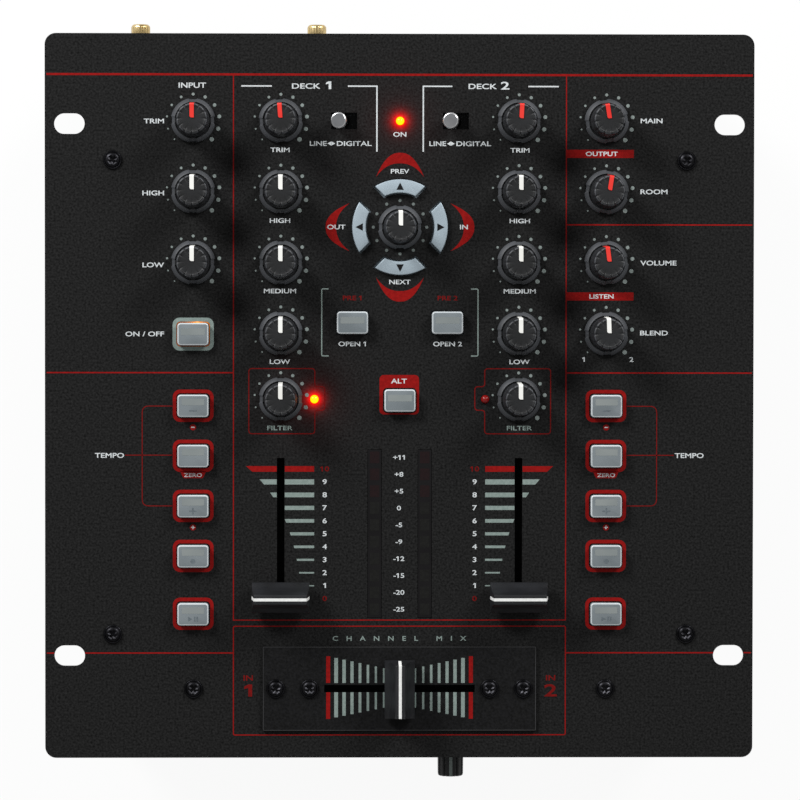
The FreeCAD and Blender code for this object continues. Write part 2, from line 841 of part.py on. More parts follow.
PHONO_COLUMNS = [-size.phono_left_x + size.phono_pitch * step for step in range(3)]
PHONO_COLUMNS += [-size.phono_middle_x + size.phono_pitch * step for step in range(3)]
PHONO_ROWS = [size.phono_low_z, size.phono_low_z + size.phono_row_pitch]
PHONO_SPOTS = [(column, row) for column in PHONO_COLUMNS for row in PHONO_ROWS]
POSTS = [-size.post_left_x, -size.post_middle_x]
REAR_JACKS = [
    (size.main_left_x, size.main_z),
    (size.main_left_x + size.main_pitch, size.main_z),
    (size.mic_jack_x, size.mic_jack_z),
]
INLETS = [
    ("usb", size.usb_x, size.usb_z, size.usb_width, size.usb_height),
    ("power", size.power_x, size.power_z, size.power_width, size.power_height),
]


def make_rubber_feet():
    body = new_body("FootBody")
    profile = sketch_on(body, "foot_profile", "XZ_Plane")
    recess = size.foot_recess_dia / 2
    polygon(profile, [
        (recess, ZERO), (size.foot_dia / 2 - size.foot_taper, ZERO), (size.foot_dia / 2, size.foot_height),
        (ZERO, size.foot_height), (ZERO, size.foot_recess_depth), (recess, size.foot_recess_depth),
    ])
    revolve(body, profile)
    feet = []
    for side in (-1, 1):
        x = side * (size.case_width / 2 - size.foot_inset)
        for end, y in (("front", FRONT_FACE + size.foot_inset), ("rear", REAR_FACE - size.foot_inset)):
            feet.append(gather(f"foot_{end}_{side + 1}", [body], x, y))
    node(gather("RubberFeet", feet), "rubber_feet")


def make_screws():
    body = new_body("ScrewBody")
    profile = sketch_on(body, "screw_profile", "XZ_Plane")
    shank = size.screw_dia / 2
    head = size.screw_head_dia / 2
    polygon(profile, [
        (ZERO, -size.screw_length), (shank, -size.screw_length), (shank, ZERO), (head, ZERO),
        (head, size.screw_head_height / 2), (head - size.screw_head_height / 2, size.screw_head_height),
        (ZERO, size.screw_head_height),
    ])
    revolve(body, profile)
    screws = []
    for number, (x, y) in enumerate(PANEL_SCREWS + TAB_SCREWS):
        screws.append(gather(f"panel_screw_{number}", [body], x, y, PANEL_TOP))
    for number, (x, y) in enumerate(PLATE_SCREWS + FRAME_SCREWS):
        screws.append(gather(f"plate_screw_{number}", [body], x, y, PLATE_TOP))
    for number, z in enumerate(SIDE_SCREWS):
        half = size.case_width / 2
        screws.append(gather(f"left_screw_{number}", [body], -half, SIDE_SCREW_Y, z, TO_LEFT))
        screws.append(gather(f"right_screw_{number}", [body], half, SIDE_SCREW_Y, z, TO_RIGHT))
    node(gather("Screws", screws), "case_screws")


# Boards

def make_boards():
    rear = depthwise(size.board_rear_y)
    front = -depthwise(size.board_front_y)
    control = block("ControlBoard", size.board_width, rear - front, size.board_thick,
                    0, (rear + front) / 2, BOARD_TOP - size.board_thick)
    left = PHONO_COLUMNS[0] - size.phono_housing_width / 2 - size.jack_board_margin
    right = PHONO_COLUMNS[-1] + size.phono_housing_width / 2 + size.jack_board_margin
    housing_low = PHONO_ROWS[0] - size.phono_housing_margin
    housing_high = PHONO_ROWS[1] + size.phono_housing_margin
    back = REAR_INNER - size.phono_housing_depth
    jack = block("JackBoard", right - left, size.board_thick, housing_high - housing_low,
                 (left + right) / 2, back - size.board_thick / 2, housing_low)
    node(gather("CircuitBoards", [control, jack]), "circuit_boards")

    standoffs = []
    x = size.board_width / 2 - size.standoff_inset
    rows = [rear - size.standoff_inset, depthwise(size.standoff_middle_y), front + size.standoff_inset]
    for side in (-1, 1):
        for number, y in enumerate(rows):
            name = f"standoff_{side + 1}_{number}"
            standoffs.append(cylinder(name, size.standoff_dia, size.board_drop, side * x, y, BOARD_TOP))
    node(gather("BoardStandoffs", standoffs), "board_standoffs")


# Pots and knobs

POT_TALL = size.pot_height + size.bushing_height
SHAFT_LOW = size.board_drop + size.panel_thick - size.pot_floor - size.shaft_end_gap


def make_pot():
    """A pot standing at z = 0 with its bushing upwards."""
    shell = fuse(
        "PotShell",
        block("PotCase", size.pot_width, size.pot_width, size.pot_height),
        cylinder("PotBushing", size.bushing_dia, size.bushing_height, z=size.pot_height),
    )
    bore = cylinder("PotBore", size.shaft_dia + size.shaft_clear * 2, POT_TALL, z=size.pot_floor)
    return cut("Pot", shell, bore)


def make_pots():
    pot = make_pot()
    pots = [gather(f"{name}_pot", [pot], x, y, BOARD_TOP) for name, (x, y, _) in KNOBS.items()]
    pots.append(gather("curve_pot", [pot], size.curve_knob_x, FRONT_INNER + POT_TALL,
                       size.curve_knob_z, TO_FRONT))
    node(gather("Potentiometers", pots), "potentiometers")
    node(gather("BrowseEncoder", [pot], *BROWSE, BOARD_TOP), "browse_encoder")


def make_knob_pieces():
    """Cap, pointer and shaft of a knob, on an axis through the panel's top face."""
    body = new_body("KnobBody")
    top = size.knob_gap + size.knob_height
    skirt_top = size.knob_gap + size.skirt_height
    groove_floor = skirt_top - size.groove_depth
    cap_base = size.cap_base_dia / 2
    cap_top = size.cap_top_dia / 2
    groove_rim = cap_base + size.groove_width
    shaft_top = size.knob_gap + size.shaft_grip
    profile = sketch_on(body, "knob_profile", "XZ_Plane")
    polygon(profile, [
        (size.shaft_dia / 2, size.knob_gap),
        (size.skirt_dia / 2, size.knob_gap),
        (size.skirt_dia / 2, size.knob_gap + size.skirt_rim),
        (size.skirt_top_dia / 2, skirt_top),
        (groove_rim, skirt_top),
        (groove_rim, groove_floor),
        (cap_base, groove_floor),
        (cap_top + size.cap_bevel, top - size.cap_bevel),
        (cap_top, top),
        (ZERO, top),
        (ZERO, shaft_top),
        (size.shaft_dia / 2, shaft_top),
    ])
    revolve(body, profile)

    webs = sketch_on(body, "knob_webs", "XY_Plane", groove_floor)
    web_length = size.groove_width * 2 + size.web_drop
    web_middle = cap_base - size.groove_width + web_length / 2
    for side in (-1, 1):
        rectangle(webs, side * web_middle, 0, web_length, size.web_width)
        rectangle(webs, 0, side * web_middle, size.web_width, web_length)
    pad(body, webs, size.groove_depth - size.web_drop)

    notches = sketch_on(body, "knob_notches", "XY_Plane", size.knob_gap)
    middle = size.skirt_dia / 2
    for side in (-1, 1):
        rectangle(notches, side * middle, 0, size.web_notch * 2, size.web_width)
        rectangle(notches, 0, side * middle, size.web_width, size.web_notch * 2)
    pocket_through(body, notches)

    pointer = new_body("PointerBody")
    strip = sketch_on(pointer, "pointer_profile", "YZ_Plane")
    proud = size.pointer_proud
    deep = size.pointer_depth
    polygon(strip, [
        (size.pointer_start, top + proud),
        (cap_top + proud, top + proud),
        (cap_top + size.cap_bevel + proud, top - size.cap_bevel),
        (cap_base + proud, skirt_top),
        (cap_base - deep, skirt_top),
        (cap_top + size.cap_bevel - deep, top - size.cap_bevel - deep),
        (size.pointer_start, top - deep),
    ])
    pad(pointer, strip, size.pointer_width, middle=True)

    cap = cut("KnobCap", body, pointer)
    shaft = cylinder("KnobShaft", size.shaft_dia, SHAFT_LOW + shaft_top, z=-SHAFT_LOW)
    return [cap, pointer, shaft]


def make_knobs():
    pieces = make_knob_pieces()
    for name, (x, y, turn) in KNOBS.items():
        knob = gather(f"{name}_item", pieces, x, y, PANEL_TOP)
        bind(knob, "Placement.Rotation.Angle", -turn)
        node(knob, name)
    node(gather("BrowseKnob", pieces, *BROWSE, PANEL_TOP), "browse_knob")


def make_curve_knob():
    """The small knob on the front wall; its axis is z until it is turned to the front."""
    low = size.curve_knob_gap
    high = low + size.curve_knob_length
    radius = size.curve_knob_dia / 2
    body = new_body("CurveKnobBody")
    profile = sketch_on(body, "curve_profile", "XZ_Plane")
    shaft_top = low + size.shaft_grip
    polygon(profile, [
        (size.shaft_dia / 2, low), (radius, low), (radius, high - size.curve_knob_bevel),
        (radius - size.curve_knob_bevel, high), (ZERO, high),
        (ZERO, shaft_top), (size.shaft_dia / 2, shaft_top),
    ])
    revolve(body, profile)
    flute_count = 12
    flutes = sketch_on(body, "curve_flutes", "XY_Plane")
    for step in range(1, flute_count):
        angle = math.pi / 2 + 2 * math.pi * step / flute_count
        circle(flutes, radius * math.cos(angle), radius * math.sin(angle), size.curve_flute_dia)
    pocket_through(body, flutes)
    mark = block("CurveMark", size.curve_mark_width, size.curve_mark_depth, size.curve_knob_length,
                 0, radius - size.curve_mark_depth / 2, low)
    shaft_low = size.sheet_thick + POT_TALL - size.pot_floor - size.shaft_end_gap
    shaft = cylinder("CurveShaft", size.shaft_dia, shaft_low + shaft_top, z=-shaft_low)
    knob = gather("CurveKnob", [cut("CurveCap", body, mark), mark, shaft],
                  size.curve_knob_x, FRONT_FACE, size.curve_knob_z, TO_FRONT)
    node(knob, "fader_curve_knob")


# Buttons and browse keys

LIP_TOP = -(size.panel_thick + size.lip_gap)
LIP_LOW = LIP_TOP - size.lip_thick
STEM_LOW = size.switch_height - size.stem_entry - size.board_drop - size.panel_thick


def make_buttons():
    body = new_body("ButtonBody")
    outline = sketch_on(body, "button_outline", "XY_Plane", LIP_TOP)
    rectangle(outline, 0, 0, size.button_width, size.button_depth)
    cap = pad(body, outline, size.button_proud - LIP_TOP)
    rounded = dress(body, "Fillet", cap, upright_edge, size.button_corner)
    dress(body, "Chamfer", rounded, level_edge(size.button_proud), size.button_bevel)
    lip = sketch_on(body, "button_lip_outline", "XY_Plane", LIP_LOW)
    margin = (size.button_clear + size.button_lip) * 2
    rectangle(lip, 0, 0, size.button_width + margin, size.button_depth + margin)
    pad(body, lip, size.lip_thick)
    stem = sketch_on(body, "button_stem", "XY_Plane", STEM_LOW)
    circle(stem, 0, 0, size.stem_dia)
    pad(body, stem, LIP_LOW - STEM_LOW)
    for name, (x, y) in BUTTONS.items():
        node(gather(f"{name}_item", [body], x, y, PANEL_TOP), name)


def make_keys():
    margin = (size.button_clear + size.button_lip) * 2
    cap = key_sector("KeyCap", size.key_inner_dia, size.key_outer_dia, size.key_gap,
                     size.key_proud - LIP_TOP, LIP_TOP)
    lip = key_sector("KeyLip", size.key_inner_dia - margin, size.key_outer_dia + margin,
                     size.key_gap - margin, size.lip_thick, LIP_LOW)
    stem = cylinder("KeyStem", size.stem_dia, LIP_LOW - STEM_LOW, 0, KEY_MIDDLE, STEM_LOW)
    key = fuse("Key", cap, lip, stem)
    for name, angle in KEYS.items():
        node(turned_about_browse(f"{name}_item", key, angle, PANEL_TOP), name)


def make_switches():
    case = block("SwitchCase", size.switch_width, size.switch_width, size.switch_height)
    bore_dia = size.stem_dia + size.stem_clear * 2
    bore = cylinder("SwitchBore", bore_dia, size.switch_height, z=size.switch_floor)
    switch = cut("Switch", case, bore)
    spots = list(BUTTONS.values()) + KEY_STEMS
    switches = [gather(f"switch_{number}", [switch], x, y, BOARD_TOP) for number, (x, y) in enumerate(spots)]
    node(gather("ButtonSwitches", switches), "button_switches")


# Toggles

def make_toggles():
    """A lever on a pin across its body; the body hangs under the panel, its top at z = 0."""
    drop = size.toggle_pivot_drop
    case = block("ToggleCase", size.toggle_body_length, size.toggle_body_width, size.toggle_body_height,
                 z=-size.toggle_body_height)
    cavity_height = size.toggle_body_height - size.toggle_floor
    cavity = block("ToggleCavity", size.toggle_body_length - size.toggle_wall * 2,
                   size.toggle_body_width - size.toggle_wall * 2, cavity_height, z=-cavity_height)
    pin_length = size.toggle_body_width - size.toggle_pin_end_gap * 2
    bore = cylinder("ToggleBore", size.toggle_pin_dia + size.toggle_pin_clear * 2, size.toggle_body_width,
                    0, size.toggle_body_width / 2, -drop, TO_FRONT)
    switch = cut("ToggleSwitch", case, cavity, bore)
    switches = [
        gather(f"{name}_switch", [switch], x, ROWS[0], PANEL_UNDER) for name, x in TOGGLES.items()
    ]
    node(gather("ToggleBodies", switches), "toggle_bodies")

    ball = doc.addObject("Part::Sphere", "LeverBall")
    bind(ball, "Radius", size.lever_ball_dia / 2)
    place(ball, z=size.lever_length)
    root = doc.addObject("Part::Sphere", "LeverRoot")
    bind(root, "Radius", size.lever_root_dia / 2)
    pin = cylinder("LeverPin", size.toggle_pin_dia, pin_length, 0, pin_length / 2, 0, TO_FRONT)
    lever = fuse("Lever", cylinder("LeverRod", size.lever_dia, size.lever_length), ball, root, pin)
    for name, x in TOGGLES.items():
        tilt = FreeCAD.Rotation(FreeCAD.Vector(0, -1, 0), 1)
        item = gather(f"{name}_item", [lever], x, ROWS[0], PANEL_UNDER - drop, tilt)
        bind(item, "Placement.Rotation.Angle", size.toggle_tilt)
        node(item, name)


# Faders: built along y with the frame's top at z = 0, moved and turned into place

ROD_DROP = size.frame_height / 2
FRAME_SLOT = size.blade_thick + size.frame_wall * 2


def make_frame_pieces():
    case = block("FrameCase", size.frame_width, FRAME_LENGTH, size.frame_height, z=-size.frame_height)
    inner_height = size.frame_height - size.frame_wall * 2
    cavity = block("FrameCavity", size.frame_width - size.frame_wall * 2, FRAME_CAVITY, inner_height,
                   z=size.frame_wall - size.frame_height)
    slot = block("FrameSlot", FRAME_SLOT, FRAME_CAVITY, size.frame_wall, z=-size.frame_wall)
    screw_holes = [
        cylinder(f"FrameScrewHole{side + 1}", SCREW_HOLE, size.screw_length, 0, side * size.frame_screw_x,
                 -size.screw_length)
        for side in (-1, 1)
    ]
    frame = cut("Frame", case, cavity, slot, *screw_holes)
    rods = [
        cylinder(f"Rod{side + 1}", size.rod_dia, FRAME_CAVITY, side * size.rod_spacing / 2,
                 FRAME_CAVITY / 2, -ROD_DROP, TO_FRONT)
        for side in (-1, 1)
    ]
    return [frame, *rods]


def make_carriage():
    slider = block("CarriageBlock", size.carriage_width, size.carriage_length, size.carriage_height,
                   z=-ROD_DROP - size.carriage_height / 2)
    bores = [
        cylinder(f"CarriageBore{side + 1}", size.rod_dia + size.rod_clear * 2, size.carriage_length,
                 side * size.rod_spacing / 2, size.carriage_length / 2, -ROD_DROP, TO_FRONT)
        for side in (-1, 1)
    ]
    return cut("Carriage", slider, *bores)


def make_fader_cap():
    """Cap and stripe with the underside at z = 0; the ridge runs along x."""
    half = size.fader_cap_width / 2
    waist = size.fader_cap_waist / 2
    ridge = size.fader_cap_ridge / 2
    long_half = size.fader_cap_length / 2
    top = size.fader_cap_height
    body = new_body("FaderCapBody")
    profile = sketch_on(body, "fader_cap_profile", "YZ_Plane")
    polygon(profile, [
        (-half, ZERO), (half, ZERO), (half, size.fader_cap_shoulder), (waist, size.fader_cap_waist_height),
        (ridge, top), (-ridge, top), (-waist, size.fader_cap_waist_height), (-half, size.fader_cap_shoulder),
    ])
    pad(body, profile, size.fader_cap_length, middle=True)
    ends = sketch_on(body, "fader_cap_ends", "XZ_Plane")
    short_half = long_half - size.fader_cap_end_taper
    for side in (-1, 1):
        polygon(ends, [
            (side * long_half, size.fader_cap_shoulder), (side * long_half, top), (side * short_half, top),
        ])
    pocket_through(body, ends)
    socket = sketch_on(body, "fader_cap_socket", "XY_Plane")
    rectangle(socket, 0, 0, size.blade_thick, size.blade_length)
    well = pocket_down(body, socket, size.blade_grip)
    well.Reversed = True

    stripe = new_body("StripeBody")
    band = sketch_on(stripe, "stripe_profile", "XZ_Plane")
    deep = size.stripe_depth
    shoulder = size.fader_cap_shoulder
    polygon(band, [
        (-long_half, shoulder), (-short_half, top), (short_half, top), (long_half, shoulder),
        (long_half - deep, shoulder), (short_half - deep, top - deep),
        (deep - short_half, top - deep), (deep - long_half, shoulder),
    ])
    pad(stripe, band, size.stripe_width, middle=True)
    return [cut("FaderCap", body, stripe), stripe]


def make_faders():
    frame_pieces = make_frame_pieces()
    carriage = make_carriage()
    cap_pieces = make_fader_cap()
    cap_low = PANEL_TOP + size.fader_cap_lift
    frames = []

    channel_frame_top = BOARD_TOP + size.frame_height
    blade_low = size.carriage_height / 2 - ROD_DROP
    rest_y = FADER_ROW - size.fader_travel / 2
    lift = cap_low - channel_frame_top
    channel_cap = gather("ChannelCap", cap_pieces, z=lift)
    channel_blade = block("ChannelBlade", size.blade_thick, size.blade_length,
                          lift + size.blade_grip - blade_low, z=blade_low)
    for name, x in CHANNEL_FADERS.items():
        frames.append(gather(f"{name}_frame", frame_pieces, x, FADER_ROW, channel_frame_top))
        slider = [channel_cap, channel_blade, carriage]
        node(gather(f"{name}_item", slider, x, rest_y, channel_frame_top), name)

    cross_lift = cap_low - PANEL_TOP
    cross_cap = gather("CrossCap", cap_pieces, z=cross_lift)
    cross_blade = block("CrossBlade", size.blade_thick, size.blade_length,
                        cross_lift + size.blade_grip - blade_low, z=blade_low)
    frames.append(gather("crossfader_frame", frame_pieces, 0, CROSSFADER_ROW, PANEL_TOP, QUARTER))
    cross_slider = [cross_cap, cross_blade, carriage]
    node(gather("CrossfaderItem", cross_slider, 0, CROSSFADER_ROW, PANEL_TOP, QUARTER), "crossfader")
    node(gather("FaderFrames", frames), "fader_frames")


def make_crossfader_plate():
    body = new_body("CrossfaderPlate")
    outline = sketch_on(body, "plate_outline", "XY_Plane", PANEL_TOP)
    rectangle(outline, 0, CROSSFADER_ROW, size.plate_width, size.plate_depth)
    pad(body, outline, size.plate_thick)
    openings = sketch_on(body, "plate_openings", "XY_Plane", PANEL_TOP)
    slot_length = FADER_REACH + size.plate_end_gap * 2
    rectangle(openings, 0, CROSSFADER_ROW, slot_length, size.fader_slot_width)
    for x, y in PLATE_SCREWS + FRAME_SCREWS:
        circle(openings, x, y, SCREW_HOLE)
    pocket_through(body, openings)
    node(body, "crossfader_plate")


# Indicators

def make_lenses():
    lenses = []
    for number, (x, y) in enumerate(LEDS):
        rod = cylinder(f"LedRod{number}", size.led_dia, size.board_drop + size.panel_thick + size.led_proud,
                       x, y, BOARD_TOP)
        dome = doc.addObject("Part::Sphere", f"LedDome{number}")
        bind(dome, "Radius", size.led_dia / 2)
        bind(dome, "Angle1", 0)
        place(dome, x, y, PANEL_TOP + size.led_proud)
        lenses.append(fuse(f"Led{number}", rod, dome))
    for number, x in enumerate(METERS):
        lip = size.meter_lip * 2
        base = block(f"MeterLip{number}", size.meter_width + lip, size.meter_length + lip,
                     size.meter_lip_thick, x, METER_ROW, PANEL_UNDER - size.meter_lip_thick)
        window = block(f"MeterWindow{number}", size.meter_width, size.meter_length, size.panel_thick,
                       x, METER_ROW, PANEL_UNDER)
        lenses.append(fuse(f"Meter{number}", base, window))
    node(gather("IndicatorLenses", lenses), "indicator_lenses")


# Sockets: built with the wall's inner face at z = 0 and the outside upwards

def make_jack(name, body_width, body_depth, bushing_dia, bore_dia, bore_depth):
    bushing_length = size.sheet_thick + size.nut_thick
    shell = fuse(
        f"{name}Shell",
        block(f"{name}Case", body_width, body_width, body_depth, z=-body_depth),
        cylinder(f"{name}Bushing", bushing_dia, bushing_length),
    )
    bore = cylinder(f"{name}Bore", bore_dia, bore_depth, z=bushing_length - bore_depth)
    nut = cut(
        f"{name}Nut",
        cylinder(f"{name}NutOuter", bushing_dia + size.nut_rim * 2, size.nut_thick, z=size.sheet_thick),
        cylinder(f"{name}NutInner", bushing_dia, size.nut_thick, z=size.sheet_thick),
    )
    return [cut(f"{name}Socket", shell, bore), nut]


def make_jacks():
    jack = make_jack("Jack", size.jack_body_width, size.jack_body_depth, size.jack_bushing_dia,
                     size.jack_bore_dia, size.jack_bore_depth)
    mini = make_jack("Mini", size.mini_body_width, size.mini_body_depth, size.mini_bushing_dia,
                     size.mini_bore_dia, size.mini_bore_depth)
    sockets = [
        gather("phones_socket", jack, -size.phones_x, FRONT_INNER, size.front_socket_z, TO_FRONT),
        gather("mini_phones_socket", mini, -size.mini_phones_x, FRONT_INNER, size.front_socket_z, TO_FRONT),
    ]
    for number, (x, z) in enumerate(REAR_JACKS):
        sockets.append(gather(f"rear_jack_{number}", jack, x, REAR_INNER, z, TO_REAR))
    node(gather("JackSockets", sockets), "jack_sockets")


def make_phono_sockets():
    """One housing with two collars and shells for each column, the lower shell at the origin."""
    collar_top = size.sheet_thick + size.phono_collar_proud
    reach = collar_top + size.phono_shell_length
    height = size.phono_row_pitch + size.phono_housing_margin * 2
    housing = block("PhonoHousing", size.phono_housing_width, height, size.phono_housing_depth,
                    0, -size.phono_row_pitch / 2, -size.phono_housing_depth)
    shells = []
    bores = []
    for number, row in enumerate((ZERO, -size.phono_row_pitch)):
        shells.append(cylinder(f"PhonoCollar{number}", size.phono_collar_dia, collar_top, 0, row))
        shells.append(cylinder(f"PhonoShell{number}", size.phono_shell_dia, reach, 0, row))
        bores.append(cylinder(f"PhonoBore{number}", size.phono_bore_dia, size.phono_bore_depth,
                              0, row, reach - size.phono_bore_depth))
    pair = cut("PhonoPair", fuse("PhonoBlank", housing, *shells), *bores)
    pairs = [
        gather(f"phono_pair_{number}", [pair], x, REAR_INNER, size.phono_low_z, TO_REAR)
        for number, x in enumerate(PHONO_COLUMNS)
    ]
    node(gather("PhonoSockets", pairs), "phono_sockets")


def make_ground_posts():
    body = new_body("PostBody")
    profile = sketch_on(body, "post_profile", "XZ_Plane")
    stud = size.post_stud_dia / 2
    collar = size.post_collar_dia / 2
    neck = size.post_neck_dia / 2
    thumb = size.post_dia / 2
    collar_top = size.sheet_thick + size.post_collar_thick
    neck_top = collar_top + size.post_neck_length
    tip = neck_top + size.post_length
    polygon(profile, [
        (ZERO, -size.post_stud_length), (stud, -size.post_stud_length), (stud, size.sheet_thick),
        (collar, size.sheet_thick), (collar, collar_top), (neck, collar_top), (neck, neck_top),
        (thumb, neck_top), (thumb, tip - size.post_bevel), (thumb - size.post_bevel, tip), (ZERO, tip),
    ])
    revolve(body, profile)
    posts = [
        gather(f"post_{number}", [body], x, REAR_INNER, size.post_z, TO_REAR)
        for number, x in enumerate(POSTS)
    ]
    node(gather("GroundPosts", posts), "ground_posts")


def make_inlets():
    mouth = size.sheet_thick + size.inlet_proud
    usb_case = block("UsbCase", size.usb_width, size.usb_height, size.usb_depth + mouth, z=-size.usb_depth)
    usb_mouth = block("UsbMouth", size.usb_width - size.usb_wall * 2, size.usb_height - size.usb_wall * 2,
                      size.usb_mouth_depth, z=mouth - size.usb_mouth_depth)
    tongue_low = mouth - size.usb_mouth_depth
    tongue = block("UsbTongue", size.usb_tongue_width, size.usb_tongue_height,
                   size.usb_mouth_depth - size.usb_wall, z=tongue_low)
    usb = [cut("UsbSocket", usb_case, usb_mouth), tongue]
    power_case = block("PowerCase", size.power_width, size.power_height, size.power_depth + mouth,
                       z=-size.power_depth)
    power_bore = cylinder("PowerBore", size.power_bore_dia, size.power_bore_depth,
                          z=mouth - size.power_bore_depth)
    power_pin = cylinder("PowerPin", size.power_pin_dia, size.power_bore_depth - size.power_pin_gap,
                         z=mouth - size.power_bore_depth)
    power = [cut("PowerSocket", power_case, power_bore), power_pin]
    inlets = [
        gather("usb_inlet", usb, size.usb_x, REAR_INNER, size.usb_z, TO_REAR),
        gather("power_inlet", power, size.power_x, REAR_INNER, size.power_z, TO_REAR),
    ]
    node(gather("PowerAndUsb", inlets), "power_and_usb_sockets")


# Checking and writing

def check(item):
    if "Invalid" in item.State or "Error" in item.State:
        raise RuntimeError(f"{item.Name} failed: {item.State}")


def write_nodes():
    doc.recompute()
    for item in doc.Objects:
        check(item)
    for item in NODES:
        if item.Shape.isNull() or not item.Shape.isValid() or not item.Shape.Solids:
            raise RuntimeError(f"{item.Label} has no sound shape")
    os.makedirs("parts", exist_ok=True)
    for item in NODES:
        Part.makeCompound(item.Shape.Solids).exportStep(f"parts/{item.Label}.step")


make_faceplate()
make_chassis_tray()
make_rear_panel()
make_rubber_feet()
make_screws()
make_boards()
make_pots()
make_knobs()
make_curve_knob()
make_buttons()
make_keys()
make_switches()
make_toggles()
make_faders()
make_crossfader_plate()
make_lenses()
make_jacks()
make_phono_sockets()
make_ground_posts()
make_inlets()
write_nodes()
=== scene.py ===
import json
from math import asin, cos, degrees, exp, hypot, pi, radians, sin, sqrt, tan

import bmesh
import bpy
from mathutils import Matrix, Vector


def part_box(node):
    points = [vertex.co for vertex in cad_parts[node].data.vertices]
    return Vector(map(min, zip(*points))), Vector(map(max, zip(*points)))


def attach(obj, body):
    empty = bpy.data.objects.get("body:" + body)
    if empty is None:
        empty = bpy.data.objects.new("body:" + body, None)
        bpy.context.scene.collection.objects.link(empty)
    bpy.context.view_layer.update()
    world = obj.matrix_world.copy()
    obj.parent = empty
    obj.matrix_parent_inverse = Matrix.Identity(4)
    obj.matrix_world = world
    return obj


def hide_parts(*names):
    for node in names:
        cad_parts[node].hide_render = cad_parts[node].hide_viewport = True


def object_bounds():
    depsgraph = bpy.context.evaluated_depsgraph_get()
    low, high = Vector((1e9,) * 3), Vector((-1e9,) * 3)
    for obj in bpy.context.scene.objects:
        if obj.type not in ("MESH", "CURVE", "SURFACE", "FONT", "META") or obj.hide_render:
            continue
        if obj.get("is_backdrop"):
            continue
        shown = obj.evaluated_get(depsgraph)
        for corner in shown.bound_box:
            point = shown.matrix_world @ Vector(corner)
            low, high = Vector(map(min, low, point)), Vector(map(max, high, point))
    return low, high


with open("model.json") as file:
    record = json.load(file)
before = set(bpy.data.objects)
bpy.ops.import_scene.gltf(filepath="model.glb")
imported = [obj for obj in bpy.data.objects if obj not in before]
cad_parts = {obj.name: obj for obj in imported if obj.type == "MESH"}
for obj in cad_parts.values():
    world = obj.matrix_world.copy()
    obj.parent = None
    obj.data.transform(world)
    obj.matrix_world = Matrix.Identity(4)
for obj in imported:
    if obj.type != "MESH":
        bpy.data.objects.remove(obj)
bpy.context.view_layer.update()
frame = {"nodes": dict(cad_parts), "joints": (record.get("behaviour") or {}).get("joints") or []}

MM = 0.001
CASE = "mixer_case"

# Heights and places in millimetres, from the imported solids

PANEL_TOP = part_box("faceplate")[1].z / MM
PLATE_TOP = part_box("crossfader_plate")[1].z / MM
PANEL_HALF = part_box("faceplate")[1].x / MM
FRONT_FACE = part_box("chassis_tray")[0].y / MM
REAR_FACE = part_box("rear_panel")[1].y / MM
PRINT_DEPTH = 0.02
PRINT_PROUD = 0.03


def middle(node):
    low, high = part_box(node)
    return (low.x + high.x) / 2 / MM, (low.y + high.y) / 2 / MM


# Place of each panel knob and the turn at which its pointer is drawn
KNOB_SPOTS = {}
for joint in frame["joints"]:
    name = joint["child"]
    if name.endswith("_knob") and name != "fader_curve_knob":
        KNOB_SPOTS[name] = (*middle(name), sum(joint.get("range_deg") or (0, 0)) / 2)


# Finishes

def linear(level):
    share = level / 255
    return share / 12.92 if share <= 0.04045 else ((share + 0.055) / 1.055) ** 2.4


def ink(red, green, blue):
    return (linear(red), linear(green), linear(blue), 1.0)


class Nodes:
    """A node tree that grows call by call."""

    def __init__(self, tree):
        self.nodes, self.links = tree.nodes, tree.links

    def feed(self, socket, value):
        if isinstance(value, bpy.types.NodeSocket):
            self.links.new(value, socket)
        else:
            socket.default_value = value

    def add(self, kind, **inputs):
        node = self.nodes.new(kind)
        for title, value in inputs.items():
            self.feed(node.inputs[title.replace("_", " ")], value)
        return node

    def math(self, operation, first, second=0.0, kind="ShaderNodeMath"):
        node = self.nodes.new(kind)
        node.operation = operation
        self.feed(node.inputs[0], first)
        self.feed(node.inputs[1], second)
        return node.outputs["Value"]


